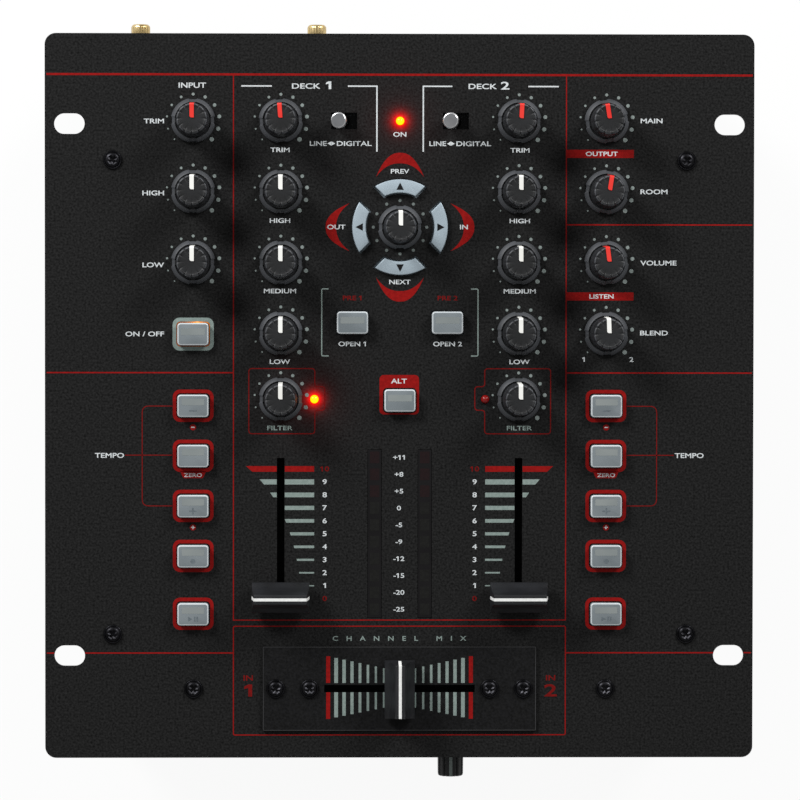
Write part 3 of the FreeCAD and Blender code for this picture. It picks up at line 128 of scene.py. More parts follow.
class Finish(Nodes):
    """A procedural finish that grows by grain, tint, gloss and relief on the piece's own place."""

    def __init__(self, name, roughness, specular=0.5, metallic=0.0):
        self.material = bpy.data.materials.new(name)
        self.material.use_nodes = True
        super().__init__(self.material.node_tree)
        self.shader = self.nodes["Principled BSDF"].inputs
        self.place = self.nodes.new("ShaderNodeTexCoord").outputs["Object"]
        self.set(Roughness=roughness, Specular_IOR_Level=specular, Metallic=metallic)

    def set(self, **values):
        for title, value in values.items():
            self.feed(self.shader[title.replace("_", " ")], value)

    def grain(self, scale, detail=4.0, stretch=(1, 1, 1)):
        spot = self.add("ShaderNodeMapping", Vector=self.place, Scale=stretch).outputs["Vector"]
        return self.add("ShaderNodeTexNoise", Vector=spot, Scale=scale, Detail=detail).outputs["Fac"]

    def ramp(self, share, start, first, end, last):
        node = self.add("ShaderNodeValToRGB", Fac=share)
        for stop, place, colour in zip(node.color_ramp.elements, (start, end), (first, last)):
            stop.position, stop.color = place, colour
        return node.outputs["Color"]

    def tint(self, grain, dark, light, start=0.35, end=0.65):
        self.set(Base_Color=self.ramp(grain, start, ink(*dark), end, ink(*light)))

    def gloss(self, grain, smoothest, roughest):
        spread = self.add("ShaderNodeMapRange", Value=grain, To_Min=smoothest, To_Max=roughest)
        self.set(Roughness=spread.outputs["Result"])

    def relief(self, grain, depth, strength):
        bump = self.add("ShaderNodeBump", Height=grain, Distance=depth * MM, Strength=strength)
        self.set(Normal=bump.outputs["Normal"])

    def reach(self, x, y, z):
        """Distance in millimetres from a point of the mixer."""
        away = self.math("DISTANCE", self.place, (x * MM, y * MM, z * MM), "ShaderNodeVectorMath")
        return self.math("DIVIDE", away, MM)

    def fading(self, away, strength, loss):
        """Light that is lost by the same share in each millimetre."""
        return self.math("MULTIPLY", self.math("EXPONENT", self.math("MULTIPLY", away, -loss)), strength)


def coat(name, dark, light, grain, gloss, relief, specular, metallic=0.0, cloud=None, stops=(0.35, 0.65)):
    """A finish with a fine grain, tinted by that grain or by a cloud of its own."""
    finish = Finish(name, sum(gloss) / 2, specular, metallic)
    fine = finish.grain(*grain)
    finish.tint(finish.grain(*cloud) if cloud else fine, dark, light, *stops)
    finish.gloss(fine, *gloss)
    finish.relief(fine, *relief)
    return finish


def moulded(name, dark, light, roughness, specular=0.4, scale=2600, depth=0.02):
    return coat(name, dark, light, (scale,), (roughness * 0.85, roughness * 1.15), (depth, 0.6), specular,
                cloud=(scale / 30, 3.0))


def plated(name, dark, light, roughness, stretch=(1, 1, 1)):
    return coat(name, dark, light, (1500, 5.0, stretch), (roughness * 0.75, roughness * 1.3), (0.003, 0.5),
                0.5, 1.0, (160,))


def printed(name, dark, light):
    finish = Finish(name, 0.55, 0.1)
    finish.tint(finish.grain(900, 5.0), dark, light)
    finish.relief(finish.grain(5000), 0.006, 0.5)
    return finish


LIT_LEDS = [(0.0, 98.6), (-30.6, -1.0)]
DIM_LED = (30.6, -1.0)
LED_RADIUS, LED_PROUD = 1.5, 1.9

# Light of a lamp on the panel: strength at its middle and loss per millimetre, close by and far out
LAMP_SPILLS = ((5.5, 0.97), (0.03, 0.18))


def powder_coat(name, dark, light, glow=False):
    finish = coat(name, dark, light, (1300, 6.0), (0.48, 0.66), (0.05, 0.7), 0.08, stops=(0.3, 0.7))
    if glow:
        total = 0.0
        for x, y in LIT_LEDS:
            away = finish.reach(x, y, PANEL_TOP)
            for strength, loss in LAMP_SPILLS:
                total = finish.math("ADD", finish.fading(away, strength, loss), total)
        finish.set(Emission_Strength=total, Emission_Color=(1.0, 0.002, 0.001, 1.0))
    return finish


def lit_lens(name, x, y):
    """A clear dome with a yellow-white heart and a red rim."""
    finish = Finish(name, 0.2)
    finish.tint(finish.grain(1800), (150, 20, 8), (180, 30, 12))
    away = finish.math("DIVIDE", finish.reach(x, y, PANEL_TOP + LED_PROUD), 2.4)
    colour = finish.ramp(away, 0.72, (1.0, 0.66, 0.0, 1.0), 0.92, (1.0, 0.03, 0.0, 1.0))
    finish.set(Emission_Color=colour, Emission_Strength=1.4)
    return finish


PANEL_PAINT = powder_coat("panel_powder_coat", (14, 14, 14), (41, 41, 41), glow=True)
CASE_PAINT = powder_coat("case_powder_coat", (16, 16, 17), (44, 44, 45))
PLATE_PAINT = powder_coat("crossfader_plate_coat", (17, 17, 17), (32, 32, 33))
# A lighter band round the plate's top edge: painted highlight
PLATE_EDGE_HIGHLIGHT = moulded("plate_worn_edge", (44, 44, 45), (66, 66, 67), 0.45, 0.3, 1200, 0.01)
KNOB_BLACK = moulded("knob_soft_black", (21, 22, 23), (31, 32, 34), 0.5, 0.42, 2600, 0.06)
# Lighter copies of the knob plastic: painted highlight on the skirt and the cap's top rim, painted light on
# the cap's sides
KNOB_SKIRT_HIGHLIGHT = moulded("knob_skirt_charcoal", (60, 62, 65), (76, 78, 82), 0.5, 0.45, 2600, 0.05)
KNOB_SIDE_PAINTED_LIGHT = moulded("knob_side_black", (33, 34, 36), (44, 45, 48), 0.5, 0.4, 2600, 0.06)
POINTER_RED = moulded("pointer_red_inlay", (222, 44, 36), (236, 60, 50), 0.45)
POINTER_WHITE = moulded("pointer_white_inlay", (236, 236, 230), (250, 250, 246), 0.45)
SHAFT_STEEL = plated("shaft_steel", (150, 150, 152), (185, 185, 188), 0.35)
PRINT_RED = printed("print_red", (131, 14, 13), (150, 20, 18))
PRINT_DARK_RED = printed("print_dark_red", (104, 14, 13), (124, 19, 17))
PRINT_WHITE = printed("print_white", (198, 204, 206), (220, 224, 225))
PRINT_GREY = printed("print_grey", (126, 141, 136), (142, 156, 151))
PRINT_DOT = printed("print_dot_grey", (124, 134, 131), (142, 152, 149))
PRINT_DIM_DOT = printed("print_dim_dot_grey", (100, 108, 106), (116, 124, 121))
CAP_GREY = moulded("button_cap_grey", (112, 120, 124), (127, 135, 139), 0.48, 0.3, 2200, 0.02)
CAP_WINDOW = moulded("button_cap_window", (129, 136, 136), (142, 148, 147), 0.48, 0.3, 1800, 0.01)
# A near-white copy of the cap plastic for the bevels: painted highlight
CAP_EDGE_HIGHLIGHT = moulded("button_cap_edge", (196, 203, 206), (214, 220, 223), 0.3, 0.6, 1800, 0.01)
CAP_MARK = printed("button_cap_mark", (96, 104, 109), (108, 117, 122))
KEY_SILVER = coat("browse_key_silver", (164, 179, 189), (182, 197, 206), (3800, 5.0), (0.34, 0.5),
                  (0.01, 0.5), 0.5, 0.3)
KEY_ARROW = printed("browse_key_arrow", (20, 20, 21), (30, 30, 31))
FADER_BLACK = moulded("fader_cap_black", (26, 27, 29), (36, 37, 40), 0.4, 0.5, 2800, 0.02)
FADER_STRIPE = printed("fader_stripe_white", (232, 233, 230), (248, 249, 247))
TOGGLE_CHROME = plated("toggle_chrome", (190, 192, 196), (215, 217, 220), 0.16)
# A whiter copy of the chrome for the drum's rim: painted highlight
TOGGLE_RIM_HIGHLIGHT = plated("toggle_polished_rim", (240, 241, 243), (250, 251, 252), 0.3)
LENS_RED = moulded("led_unlit_red", (120, 14, 14), (150, 22, 20), 0.2, 0.5, 1400, 0.01)
METER_GLASS = moulded("meter_smoked_window", (22, 21, 22), (27, 26, 27), 0.5, 0.1, 1200, 0.004)
METER_DARK = printed("meter_segment_dark", (25, 25, 24), (30, 30, 29))
METER_RED = printed("meter_segment_red", (30, 21, 22), (35, 23, 24))
SCREW_BLACK = plated("screw_blackened", (30, 30, 32), (46, 46, 49), 0.36)
GOLD_PLATE = plated("post_gold_plate", (196, 168, 112), (222, 198, 146), 0.28)
STEEL_PLATE = plated("fader_frame_steel", (140, 142, 146), (176, 178, 182), 0.4, (1, 9, 1))
FRAME_BLACK = moulded("fader_frame_black", (36, 36, 37), (46, 46, 48), 0.7, 0.1, 1800, 0.03)
SOCKET_BLACK = moulded("socket_black", (24, 24, 25), (33, 33, 34), 0.45, 0.4, 2200, 0.03)
SOCKET_NICKEL = plated("socket_nickel", (168, 170, 172), (200, 202, 204), 0.32)
SOCKET_WHITE = moulded("phono_ring_white", (205, 205, 200), (225, 225, 220), 0.45)
SOCKET_RED = moulded("phono_ring_red", (158, 20, 20), (180, 32, 30), 0.45)
FOOT_RUBBER = moulded("foot_rubber", (22, 22, 23), (32, 32, 33), 0.8, 0.25, 1500, 0.08)
BOARD_GREEN = moulded("circuit_board_green", (22, 70, 44), (32, 92, 58), 0.4, 0.5, 400, 0.02)
INNER_BLACK = moulded("switch_body_black", (26, 26, 28), (38, 38, 40), 0.5)


# Forms, in millimetres

def form_of(points, faces):
    """Faces over numbered points; points at the same place are one corner."""
    form = bmesh.new()
    corners = {}
    for point in points:
        if point not in corners:
            corners[point] = form.verts.new(point)
    for face in faces:
        ring = list(dict.fromkeys(corners[points[number]] for number in face))
        if len(ring) > 2:
            form.faces.new(ring)
    return form


def skin(rows, loop=False):
    """A form over rows of points, closed at both ends unless the last row meets the first."""
    count = len(rows[0])
    places = [[row * count + step for step in range(count)] for row in range(len(rows))]
    faces = []
    for here, there in zip(places, places[1:] + places[:1] * loop):
        for step in range(count):
            after = (step + 1) % count
            faces.append([here[step], here[after], there[after], there[step]])
    if not loop:
        faces += [places[0], places[-1][::-1]]
    form = form_of([point for row in rows for point in row], faces)
    bmesh.ops.recalc_face_normals(form, faces=form.faces)
    return form


def turned(profile, steps=64, change=None, loop=False):
    """A form turned round the upright axis from (radius, height) points."""
    rows = []
    for radius, height in profile:
        row = []
        for step in range(steps):
            angle = 2 * pi * step / steps
            wide, tall = change(angle, radius, height) if change else (radius, height)
            row.append((wide * cos(angle), wide * sin(angle), tall))
        rows.append(row)
    return skin(rows, loop)


def slab(outline, low, high):
    """A straight-sided form over an outline that runs anticlockwise."""
    return skin([[(x, y, z) for x, y in outline] for z in (high, low)])


def band(outer, inner, low, high, closed=True):
    """A strip between two outlines with the same number of points."""
    rows = [[(*out, low), (*out, high), (*back, high), (*back, low)] for out, back in zip(outer, inner)]
    return skin(rows, closed)


def polar(radius, turn, x=0.0, y=0.0):
    angle = radians(turn)
    return x + radius * cos(angle), y + radius * sin(angle)


def rectangle(left, bottom, right, top):
    return [(left, bottom), (right, bottom), (right, top), (left, top)]


def circle(x, y, radius, steps):
    return [polar(radius, 360 * step / steps, x, y) for step in range(steps)]


def box_outline(width, depth, corner, x=0.0, y=0.0, steps=6):
    """A rounded rectangle, anticlockwise."""
    half_wide, half_deep = width / 2 - corner, depth / 2 - corner
    return [polar(corner, 90 * (number + step / steps), x + across * half_wide, y + along * half_deep)
            for number, (across, along) in enumerate([(1, 1), (-1, 1), (-1, -1), (1, -1)])
            for step in range(steps + 1)]


def rounded_path(points, corner, steps=5, closed=False):
    """The same path with its corners rounded."""
    path = []
    count = len(points)
    for number, point in enumerate(points):
        if not closed and number in (0, count - 1):
            path.append(point)
            continue
        here = Vector(point)
        before = (Vector(points[number - 1]) - here).normalized()
        after = (Vector(points[(number + 1) % count]) - here).normalized()
        turn = before.angle(after)
        back = corner / tan(turn / 2)
        start, end = here + before * back, here + after * back
        for step in range(steps + 1):
            share = step / steps
            spot = start * (1 - share) ** 2 + here * 2 * share * (1 - share) + end * share ** 2
            path.append(tuple(spot))
    return path


def line(points, width, low, high, closed=False):
    """A printed line of even width along a path, with mitred corners."""
    count = len(points)
    left, right = [], []
    for number, point in enumerate(points):
        here = Vector(point)
        ways = []
        if closed or number:
            ways.append((here - Vector(points[number - 1])).normalized())
        if closed or number < count - 1:
            ways.append((Vector(points[(number + 1) % count]) - here).normalized())
        along = sum(ways, Vector((0, 0))).normalized()
        side = Vector((-along.y, along.x))
        mitre = width / 2 / max(0.5, side.dot(Vector((-ways[0].y, ways[0].x))))
        left.append(tuple(here + side * mitre))
        right.append(tuple(here - side * mitre))
    return band(right, left, low, high, closed)


def rod(radius, low, high, steps=24):
    return turned([(0, low), (radius, low), (radius, high), (0, high)], steps)


def soften(form, width, segments=3, keep=None):
    """Rounds the sharp edges, or those that keep chooses."""
    sharp = [edge for edge in form.edges if edge.is_manifold and edge.calc_face_angle() > radians(25)]
    chosen = [edge for edge in sharp if keep is None or keep(edge)]
    bmesh.ops.bevel(form, geom=chosen, offset=width, segments=segments, profile=0.5, affect="EDGES")
    return form


def block(width, depth, corner, low, high, rounding, segments, steps=3):
    return soften(slab(box_outline(width, depth, corner, steps=steps), low, high), rounding, segments)


def edge_at(height):
    return lambda edge: all(abs(corner.co.z - height) < 1e-4 for corner in edge.verts)


def coloured(form, number):
    for face in form.faces:
        face.material_index = number
    return form


def moved(form, x=0.0, y=0.0, z=0.0, turn=0.0):
    form.transform(Matrix.Translation((x, y, z)) @ Matrix.Rotation(radians(turn), 4, "Z"))
    return form


SIDEWAYS = Matrix(((0, 0, 1, 0), (1, 0, 0, 0), (0, 1, 0, 0), (0, 0, 0, 1)))
TO_FRONT = Matrix.Rotation(radians(90), 4, "X")
TO_REAR = Matrix.Rotation(radians(-90), 4, "X")


def facing(form, way, x, y, z):
    form.transform(Matrix.Translation((x, y, z)) @ way)
    return form


def together(forms):
    whole = bmesh.new()
    for form in forms:
        mesh = bpy.data.meshes.new("part")
        form.to_mesh(mesh)
        form.free()
        whole.from_mesh(mesh)
        bpy.data.meshes.remove(mesh)
    return whole


def linked(name, data):
    thing = bpy.data.objects.new(name, data)
    bpy.context.scene.collection.objects.link(thing)
    return thing


def shown(name, mesh, finishes=(), crease=35):
    for finish in finishes:
        mesh.materials.append(finish.material)
    mesh.shade_smooth()
    mesh.set_sharp_from_angle(angle=radians(crease))
    return linked(name, mesh)


def mesh_of(form, name):
    form.transform(Matrix.Scale(MM, 4))
    mesh = bpy.data.meshes.new(name)
    form.to_mesh(mesh)
    form.free()
    return mesh


def mesh_now(thing):
    """The thing's mesh after its modifiers."""
    return bpy.data.meshes.new_from_object(thing.evaluated_get(bpy.context.evaluated_depsgraph_get()))


def form_from(mesh):
    form = bmesh.new()
    form.from_mesh(mesh)
    bpy.data.meshes.remove(mesh)
    return form


def settle(thing, body, nodes=()):
    """Makes the thing a finished piece that rides on its body and stands for its nodes."""
    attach(thing, body)
    if nodes:
        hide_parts(*nodes)


def piece(name, form, body, finishes, nodes=(), crease=35):
    settle(shown(name, mesh_of(form, name), finishes, crease), body, nodes)


def control(name, ending, form, finishes, crease=35):
    """A moving piece on the body of the node that it stands for."""
    piece(name + ending, form, name, finishes, (name,), crease)


def hollowed(form, tool):
    """The form with the tool's shape taken out of it."""
    whole = shown("blank", mesh_of(form, "blank"))
    cutter = shown("cutter", mesh_of(tool, "cutter"))
    bite = whole.modifiers.new("bite", "BOOLEAN")
    bite.operation = "DIFFERENCE"
    bite.solver = "EXACT"
    bite.object = cutter
    result = form_from(mesh_now(whole))
    result.transform(Matrix.Scale(1 / MM, 4))
    for thing in (whole, cutter):
        bpy.data.objects.remove(thing)
    return result


# Geometry Nodes: one part set out on many places, and the dot rings round the knobs

class Tree(Nodes):
    """A Geometry Nodes tree with named inputs."""

    def __init__(self, name, inputs):
        self.group = bpy.data.node_groups.new(name, "GeometryNodeTree")
        super().__init__(self.group)
        face = self.group.interface
        face.new_socket(name="Places", in_out="INPUT", socket_type="NodeSocketGeometry")
        self.sockets = {}
        for title, kind in inputs.items():
            self.sockets[title] = face.new_socket(name=title, in_out="INPUT", socket_type=kind).identifier
        face.new_socket(name="Result", in_out="OUTPUT", socket_type="NodeSocketGeometry")
        self.entry = self.nodes.new("NodeGroupInput").outputs

    def finish(self, instances, finish):
        real = self.add("GeometryNodeRealizeInstances", Geometry=instances)
        painted = self.add("GeometryNodeSetMaterial", Geometry=real.outputs["Geometry"], Material=finish)
        self.add("NodeGroupOutput", Result=painted.outputs["Geometry"])


def grow_set_out():
    """One part on each place, turned and stretched as the place says."""
    tree = Tree("parts_set_out", {"Part": "NodeSocketObject", "Finish": "NodeSocketMaterial"})
    part = tree.add("GeometryNodeObjectInfo", Object=tree.entry["Part"])
    said = {}
    for title in ("turn", "stretch"):
        node = tree.nodes.new("GeometryNodeInputNamedAttribute")
        node.data_type = "FLOAT_VECTOR"
        node.inputs["Name"].default_value = title
        said[title] = node.outputs["Attribute"]
    rotation = tree.add("FunctionNodeEulerToRotation", Euler=said["turn"])
    spread = tree.add("GeometryNodeInstanceOnPoints", Points=tree.entry["Places"],
                      Instance=part.outputs["Geometry"], Rotation=rotation.outputs["Rotation"],
                      Scale=said["stretch"])
    tree.finish(spread.outputs["Instances"], tree.entry["Finish"])
    return tree


def grow_dot_rings():
    """A ring of dots that grow clockwise round each place."""
    lengths = ("Radius", "Start", "Step", "First size", "Growth", "Thickness")
    tree = Tree("dot_rings", {"Count": "NodeSocketInt", **{title: "NodeSocketFloat" for title in lengths},
                              "Finish": "NodeSocketMaterial"})
    entry = tree.entry
    number = tree.nodes.new("GeometryNodeInputIndex").outputs["Index"]
    angle = tree.math("ADD", entry["Start"], tree.math("MULTIPLY", number, entry["Step"]))
    across = tree.math("MULTIPLY", tree.math("SINE", angle), entry["Radius"])
    along = tree.math("MULTIPLY", tree.math("COSINE", angle), entry["Radius"])
    spot = tree.add("ShaderNodeCombineXYZ", X=across, Y=along)
    points = tree.add("GeometryNodePoints", Count=entry["Count"], Position=spot.outputs["Vector"])
    dot = tree.add("GeometryNodeMeshCylinder", Vertices=20, Radius=0.5, Depth=entry["Thickness"])
    size = tree.math("ADD", entry["First size"], tree.math("MULTIPLY", number, entry["Growth"]))
    scale = tree.add("ShaderNodeCombineXYZ", X=size, Y=size, Z=1.0)
    ring = tree.add("GeometryNodeInstanceOnPoints", Points=points.outputs["Points"],
                    Instance=dot.outputs["Mesh"], Scale=scale.outputs["Vector"])
    rings = tree.add("GeometryNodeInstanceOnPoints", Points=entry["Places"],
                     Instance=ring.outputs["Instances"])
    tree.finish(rings.outputs["Instances"], entry["Finish"])
    return tree


SET_OUT = grow_set_out()
DOT_RINGS = grow_dot_rings()


def at(x, y, z, turn=(0, 0, 0), stretch=(1, 1, 1)):
    """A place for a part, with its turn in degrees."""
    return (x, y, z), turn, stretch


def grown(tree, places, values):
    """The plain mesh that a tree gives on these places."""
    mesh = bpy.data.meshes.new("places")
    mesh.from_pydata([tuple(Vector(spot) * MM) for spot, turn, stretch in places], [], [])
    turns = mesh.attributes.new("turn", "FLOAT_VECTOR", "POINT")
    stretches = mesh.attributes.new("stretch", "FLOAT_VECTOR", "POINT")
    for number, (spot, turn, stretch) in enumerate(places):
        turns.data[number].vector = [radians(angle) for angle in turn]
        stretches.data[number].vector = stretch
    bed = linked("bed", mesh)
    growth = bed.modifiers.new("growth", "NODES")
    growth.node_group = tree.group
    for title, value in values.items():
        growth[tree.sockets[title]] = value
    result = mesh_now(bed)
    bpy.data.objects.remove(bed)
    return result


def set_out(name, form, places, finish, nodes=(), crease=35):
    """One form on many places, as one piece on the case."""
    master = shown("master", mesh_of(form, "master"))
    mesh = grown(SET_OUT, places, {"Part": master, "Finish": finish.material})
    bpy.data.objects.remove(master)
    settle(shown(name, mesh, (), crease), CASE, nodes)


# CAD nodes that keep their shape

def dress(finish, *names):
    for name in names:
        for place in frame["nodes"][name].material_slots:
            place.material = finish.material


dress(PANEL_PAINT, "faceplate")
dress(CASE_PAINT, "chassis_tray", "rear_panel")
dress(PLATE_PAINT, "crossfader_plate")
dress(BOARD_GREEN, "circuit_boards")
dress(STEEL_PLATE, "board_standoffs")
dress(FRAME_BLACK, "fader_frames")
dress(INNER_BLACK, "potentiometers", "button_switches", "toggle_bodies", "browse_encoder")
dress(SOCKET_BLACK, "power_and_usb_sockets")


# Knobs

KNOB_FINISHES = (KNOB_BLACK, POINTER_RED, POINTER_WHITE, SHAFT_STEEL, KNOB_SKIRT_HIGHLIGHT, KNOB_SIDE_PAINTED_LIGHT)
TOP, RED_INLAY, WHITE_INLAY, SHAFT, SKIRT_HIGHLIGHT, SIDE_PAINTED_LIGHT = range(6)
RED_POINTERS = {
    "mic_gain_knob", "channel_one_gain_knob", "channel_two_gain_knob",
    "master_knob", "booth_knob", "phones_level_knob",
}


def knob_shape(angle, radius, height):
    """Four webs bridge the groove and notch the skirt; shallow flutes run up the cap."""
    off = abs((degrees(angle) + 45) % 90 - 45)
    if off < 7.6:
        if radius > 6.6:
            radius -= 0.42
        elif radius > 5.98 and height < 3:
            height = 2.74
    flute = max(0.0, cos(12 * angle)) ** 4
    if 4.6 < radius < 5.97 and height > 4:
        radius -= 0.3 * flute
    if 4.0 < radius < 5.3 and height > 16.2:
        height -= 0.26 * flute
    return radius, height


def knob_forms(pointer_ink):
    side = [
        (0, 0.6), (7.65, 0.6), (7.91, 0.72), (7.95, 0.95), (7.95, 1.3), (7.87, 1.5), (7.35, 2.1),
        (6.78, 2.72), (6.58, 2.85), (6.48, 2.78), (6.42, 2.4), (6.3, 2.25), (6.12, 2.25), (5.97, 2.4),
        (5.94, 4.0), (5.5, 15.5), (5.43, 15.9), (5.26, 16.22), (5.0, 16.42), (4.75, 16.44), (4.5, 16.34),
        (4.3, 16.28), (3.5, 16.28), (2.0, 16.28), (0, 16.28),
    ]
    cap = coloured(turned(side, 96, knob_shape), TOP)
    # Painted highlight on the skirt and the top rim, painted light on the sides of the cap
    for face in cap.faces:
        spot = face.calc_center_median()
        if (spot.z < 3.0 and spot.xy.length > 6.4) or (spot.z > 15.9 and spot.xy.length > 5.0):
            face.material_index = SKIRT_HIGHLIGHT
        elif 2.9 < spot.z < 15.9:
            face.material_index = SIDE_PAINTED_LIGHT
    inner_end, half_wide = 0.3, 0.76
    strip = [(inner_end, 16.1), (4.7, 16.1), (5.2, 15.5), (5.6, 2.6), (6.08, 2.6), (5.6, 15.7), (5.42, 16.2),
             (5.02, 16.58), (inner_end, 16.58)]
    pointer = slab(strip, -half_wide, half_wide)
    pointer.transform(SIDEWAYS)
    soften(pointer, 0.7, 5, lambda edge: all(abs(corner.co.y - inner_end) < 1e-4 for corner in edge.verts)
           and abs(edge.verts[0].co.x - edge.verts[1].co.x) < 1e-4)
    shaft = block(6.0, 6.0, 2.999, -14.0, 3.0, 0.2, 1, 8)
    return [cap, coloured(pointer, pointer_ink), coloured(shaft, SHAFT)]


for name, (x, y, turn) in KNOB_SPOTS.items():
    knob = together(knob_forms(RED_INLAY if name in RED_POINTERS else WHITE_INLAY))
    control(name, "_cap", moved(knob, x, y, PANEL_TOP, turn), KNOB_FINISHES)


# Small knob of the crossfader curve on the front wall, built upright and turned to the front

def curve_knob():
    def fluted(angle, radius, height):
        lift = max(0.0, cos(12 * (angle - pi / 2))) ** 3
        if radius > 4.0 and height > 2.2 and abs(degrees(angle) - 90) > 12:
            return radius - 0.62 * lift, height
        return radius, height

    side = [
        (0, -9.7), (3.0, -9.7), (3.0, 2.0), (4.4, 2.0), (4.68, 2.2), (4.75, 2.6), (4.72, 9.0), (4.66, 15.6),
        (4.5, 16.2), (4.1, 16.5), (3.7, 16.4), (3.4, 16.1), (0, 16.0),
    ]
    mark = soften(slab(rectangle(-0.6, 4.25, 0.6, 4.76), 2.5, 16.3), 0.12, 2)
    knob = together([turned(side, 96, fluted), coloured(mark, 1)])
    return facing(knob, TO_FRONT, 19.3, FRONT_FACE, 60.0)


control("fader_curve_knob", "_cap", curve_knob(), (KNOB_BLACK, PRINT_DOT))


# Push buttons

BUTTON_WIDE, BUTTON_DEEP, BUTTON_PROUD = 11.15, 8.05, 3.5
CAP, WINDOW, MARK, RIM_HIGHLIGHT = range(4)
BAR = [rectangle(-1.4, -1.95, 1.4, -1.45)]
BUTTON_MARKS = {
    "play": [[(-1.7, -2.5), (-0.2, -1.65), (-1.7, -0.8)]]
            + [rectangle(x, -2.5, x + 0.5, -0.8) for x in (0.4, 1.3)],
    "cue": [circle(0, -1.7, 0.85, 20)],
    "pitch_down": BAR,
    "pitch_up": BAR + [rectangle(-0.25, -1.45, 0.25, -0.55), rectangle(-0.25, -2.85, 0.25, -1.95)],
}


def plunger(y=0.0):
    """The stem that a button or key presses down on its switch."""
    return moved(rod(1.75, -13.6, -3.3), 0, y)


def button(name):
    cap = slab(box_outline(BUTTON_WIDE, BUTTON_DEEP, 1.2), -2.3, BUTTON_PROUD)
    soften(cap, 0.48, 3, edge_at(BUTTON_PROUD))
    coloured(cap, CAP)
    # The bevel faces take the painted highlight
    for face in cap.faces:
        if 0.05 < face.normal.z < 0.97:
            face.material_index = RIM_HIGHLIGHT
    lip = slab(box_outline(13.5, 10.4, 0.4, steps=2), -3.3, -2.3)
    forms = [cap, lip, plunger()]
    top = (BUTTON_PROUD - PRINT_DEPTH, BUTTON_PROUD + PRINT_PROUD)
    single = name.startswith(("shift", "load", "mic"))
    window = box_outline(8.6, 2.4, 0.3, 0, 0.9, 3) if single else box_outline(8.0, 2.3, 0.3, 0, 1.4, 3)
    forms.append(coloured(slab(window, *top), WINDOW))
    for ending, outlines in BUTTON_MARKS.items():
        if ending in name:
            forms += [coloured(slab(outline, *top), MARK) for outline in outlines]
    return together(forms)


BUTTONS = [name for name in frame["nodes"] if name.endswith("_button")]
for name in BUTTONS:
    control(name, "_cap", moved(button(name), *middle(name), PANEL_TOP),
            (CAP_GREY, CAP_WINDOW, CAP_MARK, CAP_EDGE_HIGHLIGHT))


# Curved browse keys: a sector of a ring cut off along two slanted lines

KEY_INNER, KEY_OUTER, KEY_GAP, KEY_PROUD = 12.3, 17.1, 5.6, 2.0
KEY_LEAN = 0.05


def key_outline(inner, outer, gap, steps=16):
    points = []
    for radius, way in ((outer, 1), (inner, -1)):
        limit = 45 - degrees(asin(gap / (radius * sqrt(2))))
        points += [polar(radius, 90 + way * limit * (2 * step / steps - 1)) for step in range(steps + 1)]
    return points


def browse_key():
    cap = slab(key_outline(KEY_INNER, KEY_OUTER, KEY_GAP), -2.3, KEY_PROUD)
    soften(cap, 0.3, 3, edge_at(KEY_PROUD))
    lip = slab(key_outline(KEY_INNER - 1.1, KEY_OUTER + 1.1, KEY_GAP - 2.0), -3.3, -2.3)
    arrow = slab([(-1.35, 13.3), (1.35, 13.3), (0, 15.94)],
                 KEY_PROUD - PRINT_DEPTH, KEY_PROUD + PRINT_PROUD / 2)
    for corner in list(cap.verts) + list(arrow.verts):
        if corner.co.z > 1.0:
            corner.co.z -= KEY_LEAN * (hypot(corner.co.x, corner.co.y) - KEY_INNER)
    return together([cap, lip, plunger(14.65), coloured(arrow, 1)])


BROWSE_X, BROWSE_Y = middle("browse_knob")
KEY_TURNS = {"browse_up_key": 0, "browse_back_key": 90, "browse_down_key": 180, "browse_forward_key": 270}
for name, turn in KEY_TURNS.items():
    control(name, "_cap", moved(browse_key(), BROWSE_X, BROWSE_Y, PANEL_TOP, turn),
            (KEY_SILVER, KEY_ARROW))


# Toggle levers: a flat-ended drum on a rod, leaning to the left

TOGGLE_LEAN, TOGGLE_Y, TOGGLE_PIVOT = -10, 98.6, 83.5


def toggle_lever():
    side = [(0, -2.1)] + [polar(2.1, angle) for angle in range(-75, 45, 15)]
    side += [(1.5, 1.8), (1.5, 6.9), (1.42, 7.9), (1.7, 8.2), (2.4, 8.6), (2.86, 9.3), (2.95, 10.2),
             (2.95, 11.6), (2.88, 12.0), (2.62, 12.36), (2.4, 12.46)]
    # Fine turned rings on the flat end
    side += [(2.25 - 0.15 * step, 12.46 + 0.025 * (step % 2)) for step in range(15)] + [(0, 12.46)]
    lever = turned(side, 64)
    # The rim of the drum takes the painted highlight
    for face in lever.faces:
        spot = face.calc_center_median()
        face.material_index = int(spot.z > 11.6 and spot.xy.length > 2.35)
    pin = turned([(0, -4.2), (0.8, -4.2), (0.9, -4.1), (0.9, 4.1), (0.8, 4.2), (0, 4.2)], 24)
    pin.transform(TO_FRONT)
    whole = together([lever, pin])
    whole.transform(Matrix.Rotation(radians(TOGGLE_LEAN), 4, "Y"))
    return whole


for name, x in (("left_input_toggle", -20.0), ("right_input_toggle", 20.0)):
    control(name, "_lever", moved(toggle_lever(), x, TOGGLE_Y, TOGGLE_PIVOT),
            (TOGGLE_CHROME, TOGGLE_RIM_HIGHLIGHT), 50)


# Fader caps with a ridge along x, their stems and carriages

FOOT_HALF, RIDGE_HALF, DEEP_HALF = 10.3, 9.4, 5.4
SHOULDER, RIDGE = 3.2, 13.0
STRIPE_LIFT, STRIPE_DEEP, STRIPE_HALF = 0.02, 0.6, 0.525
END_ROUNDING = 0.12


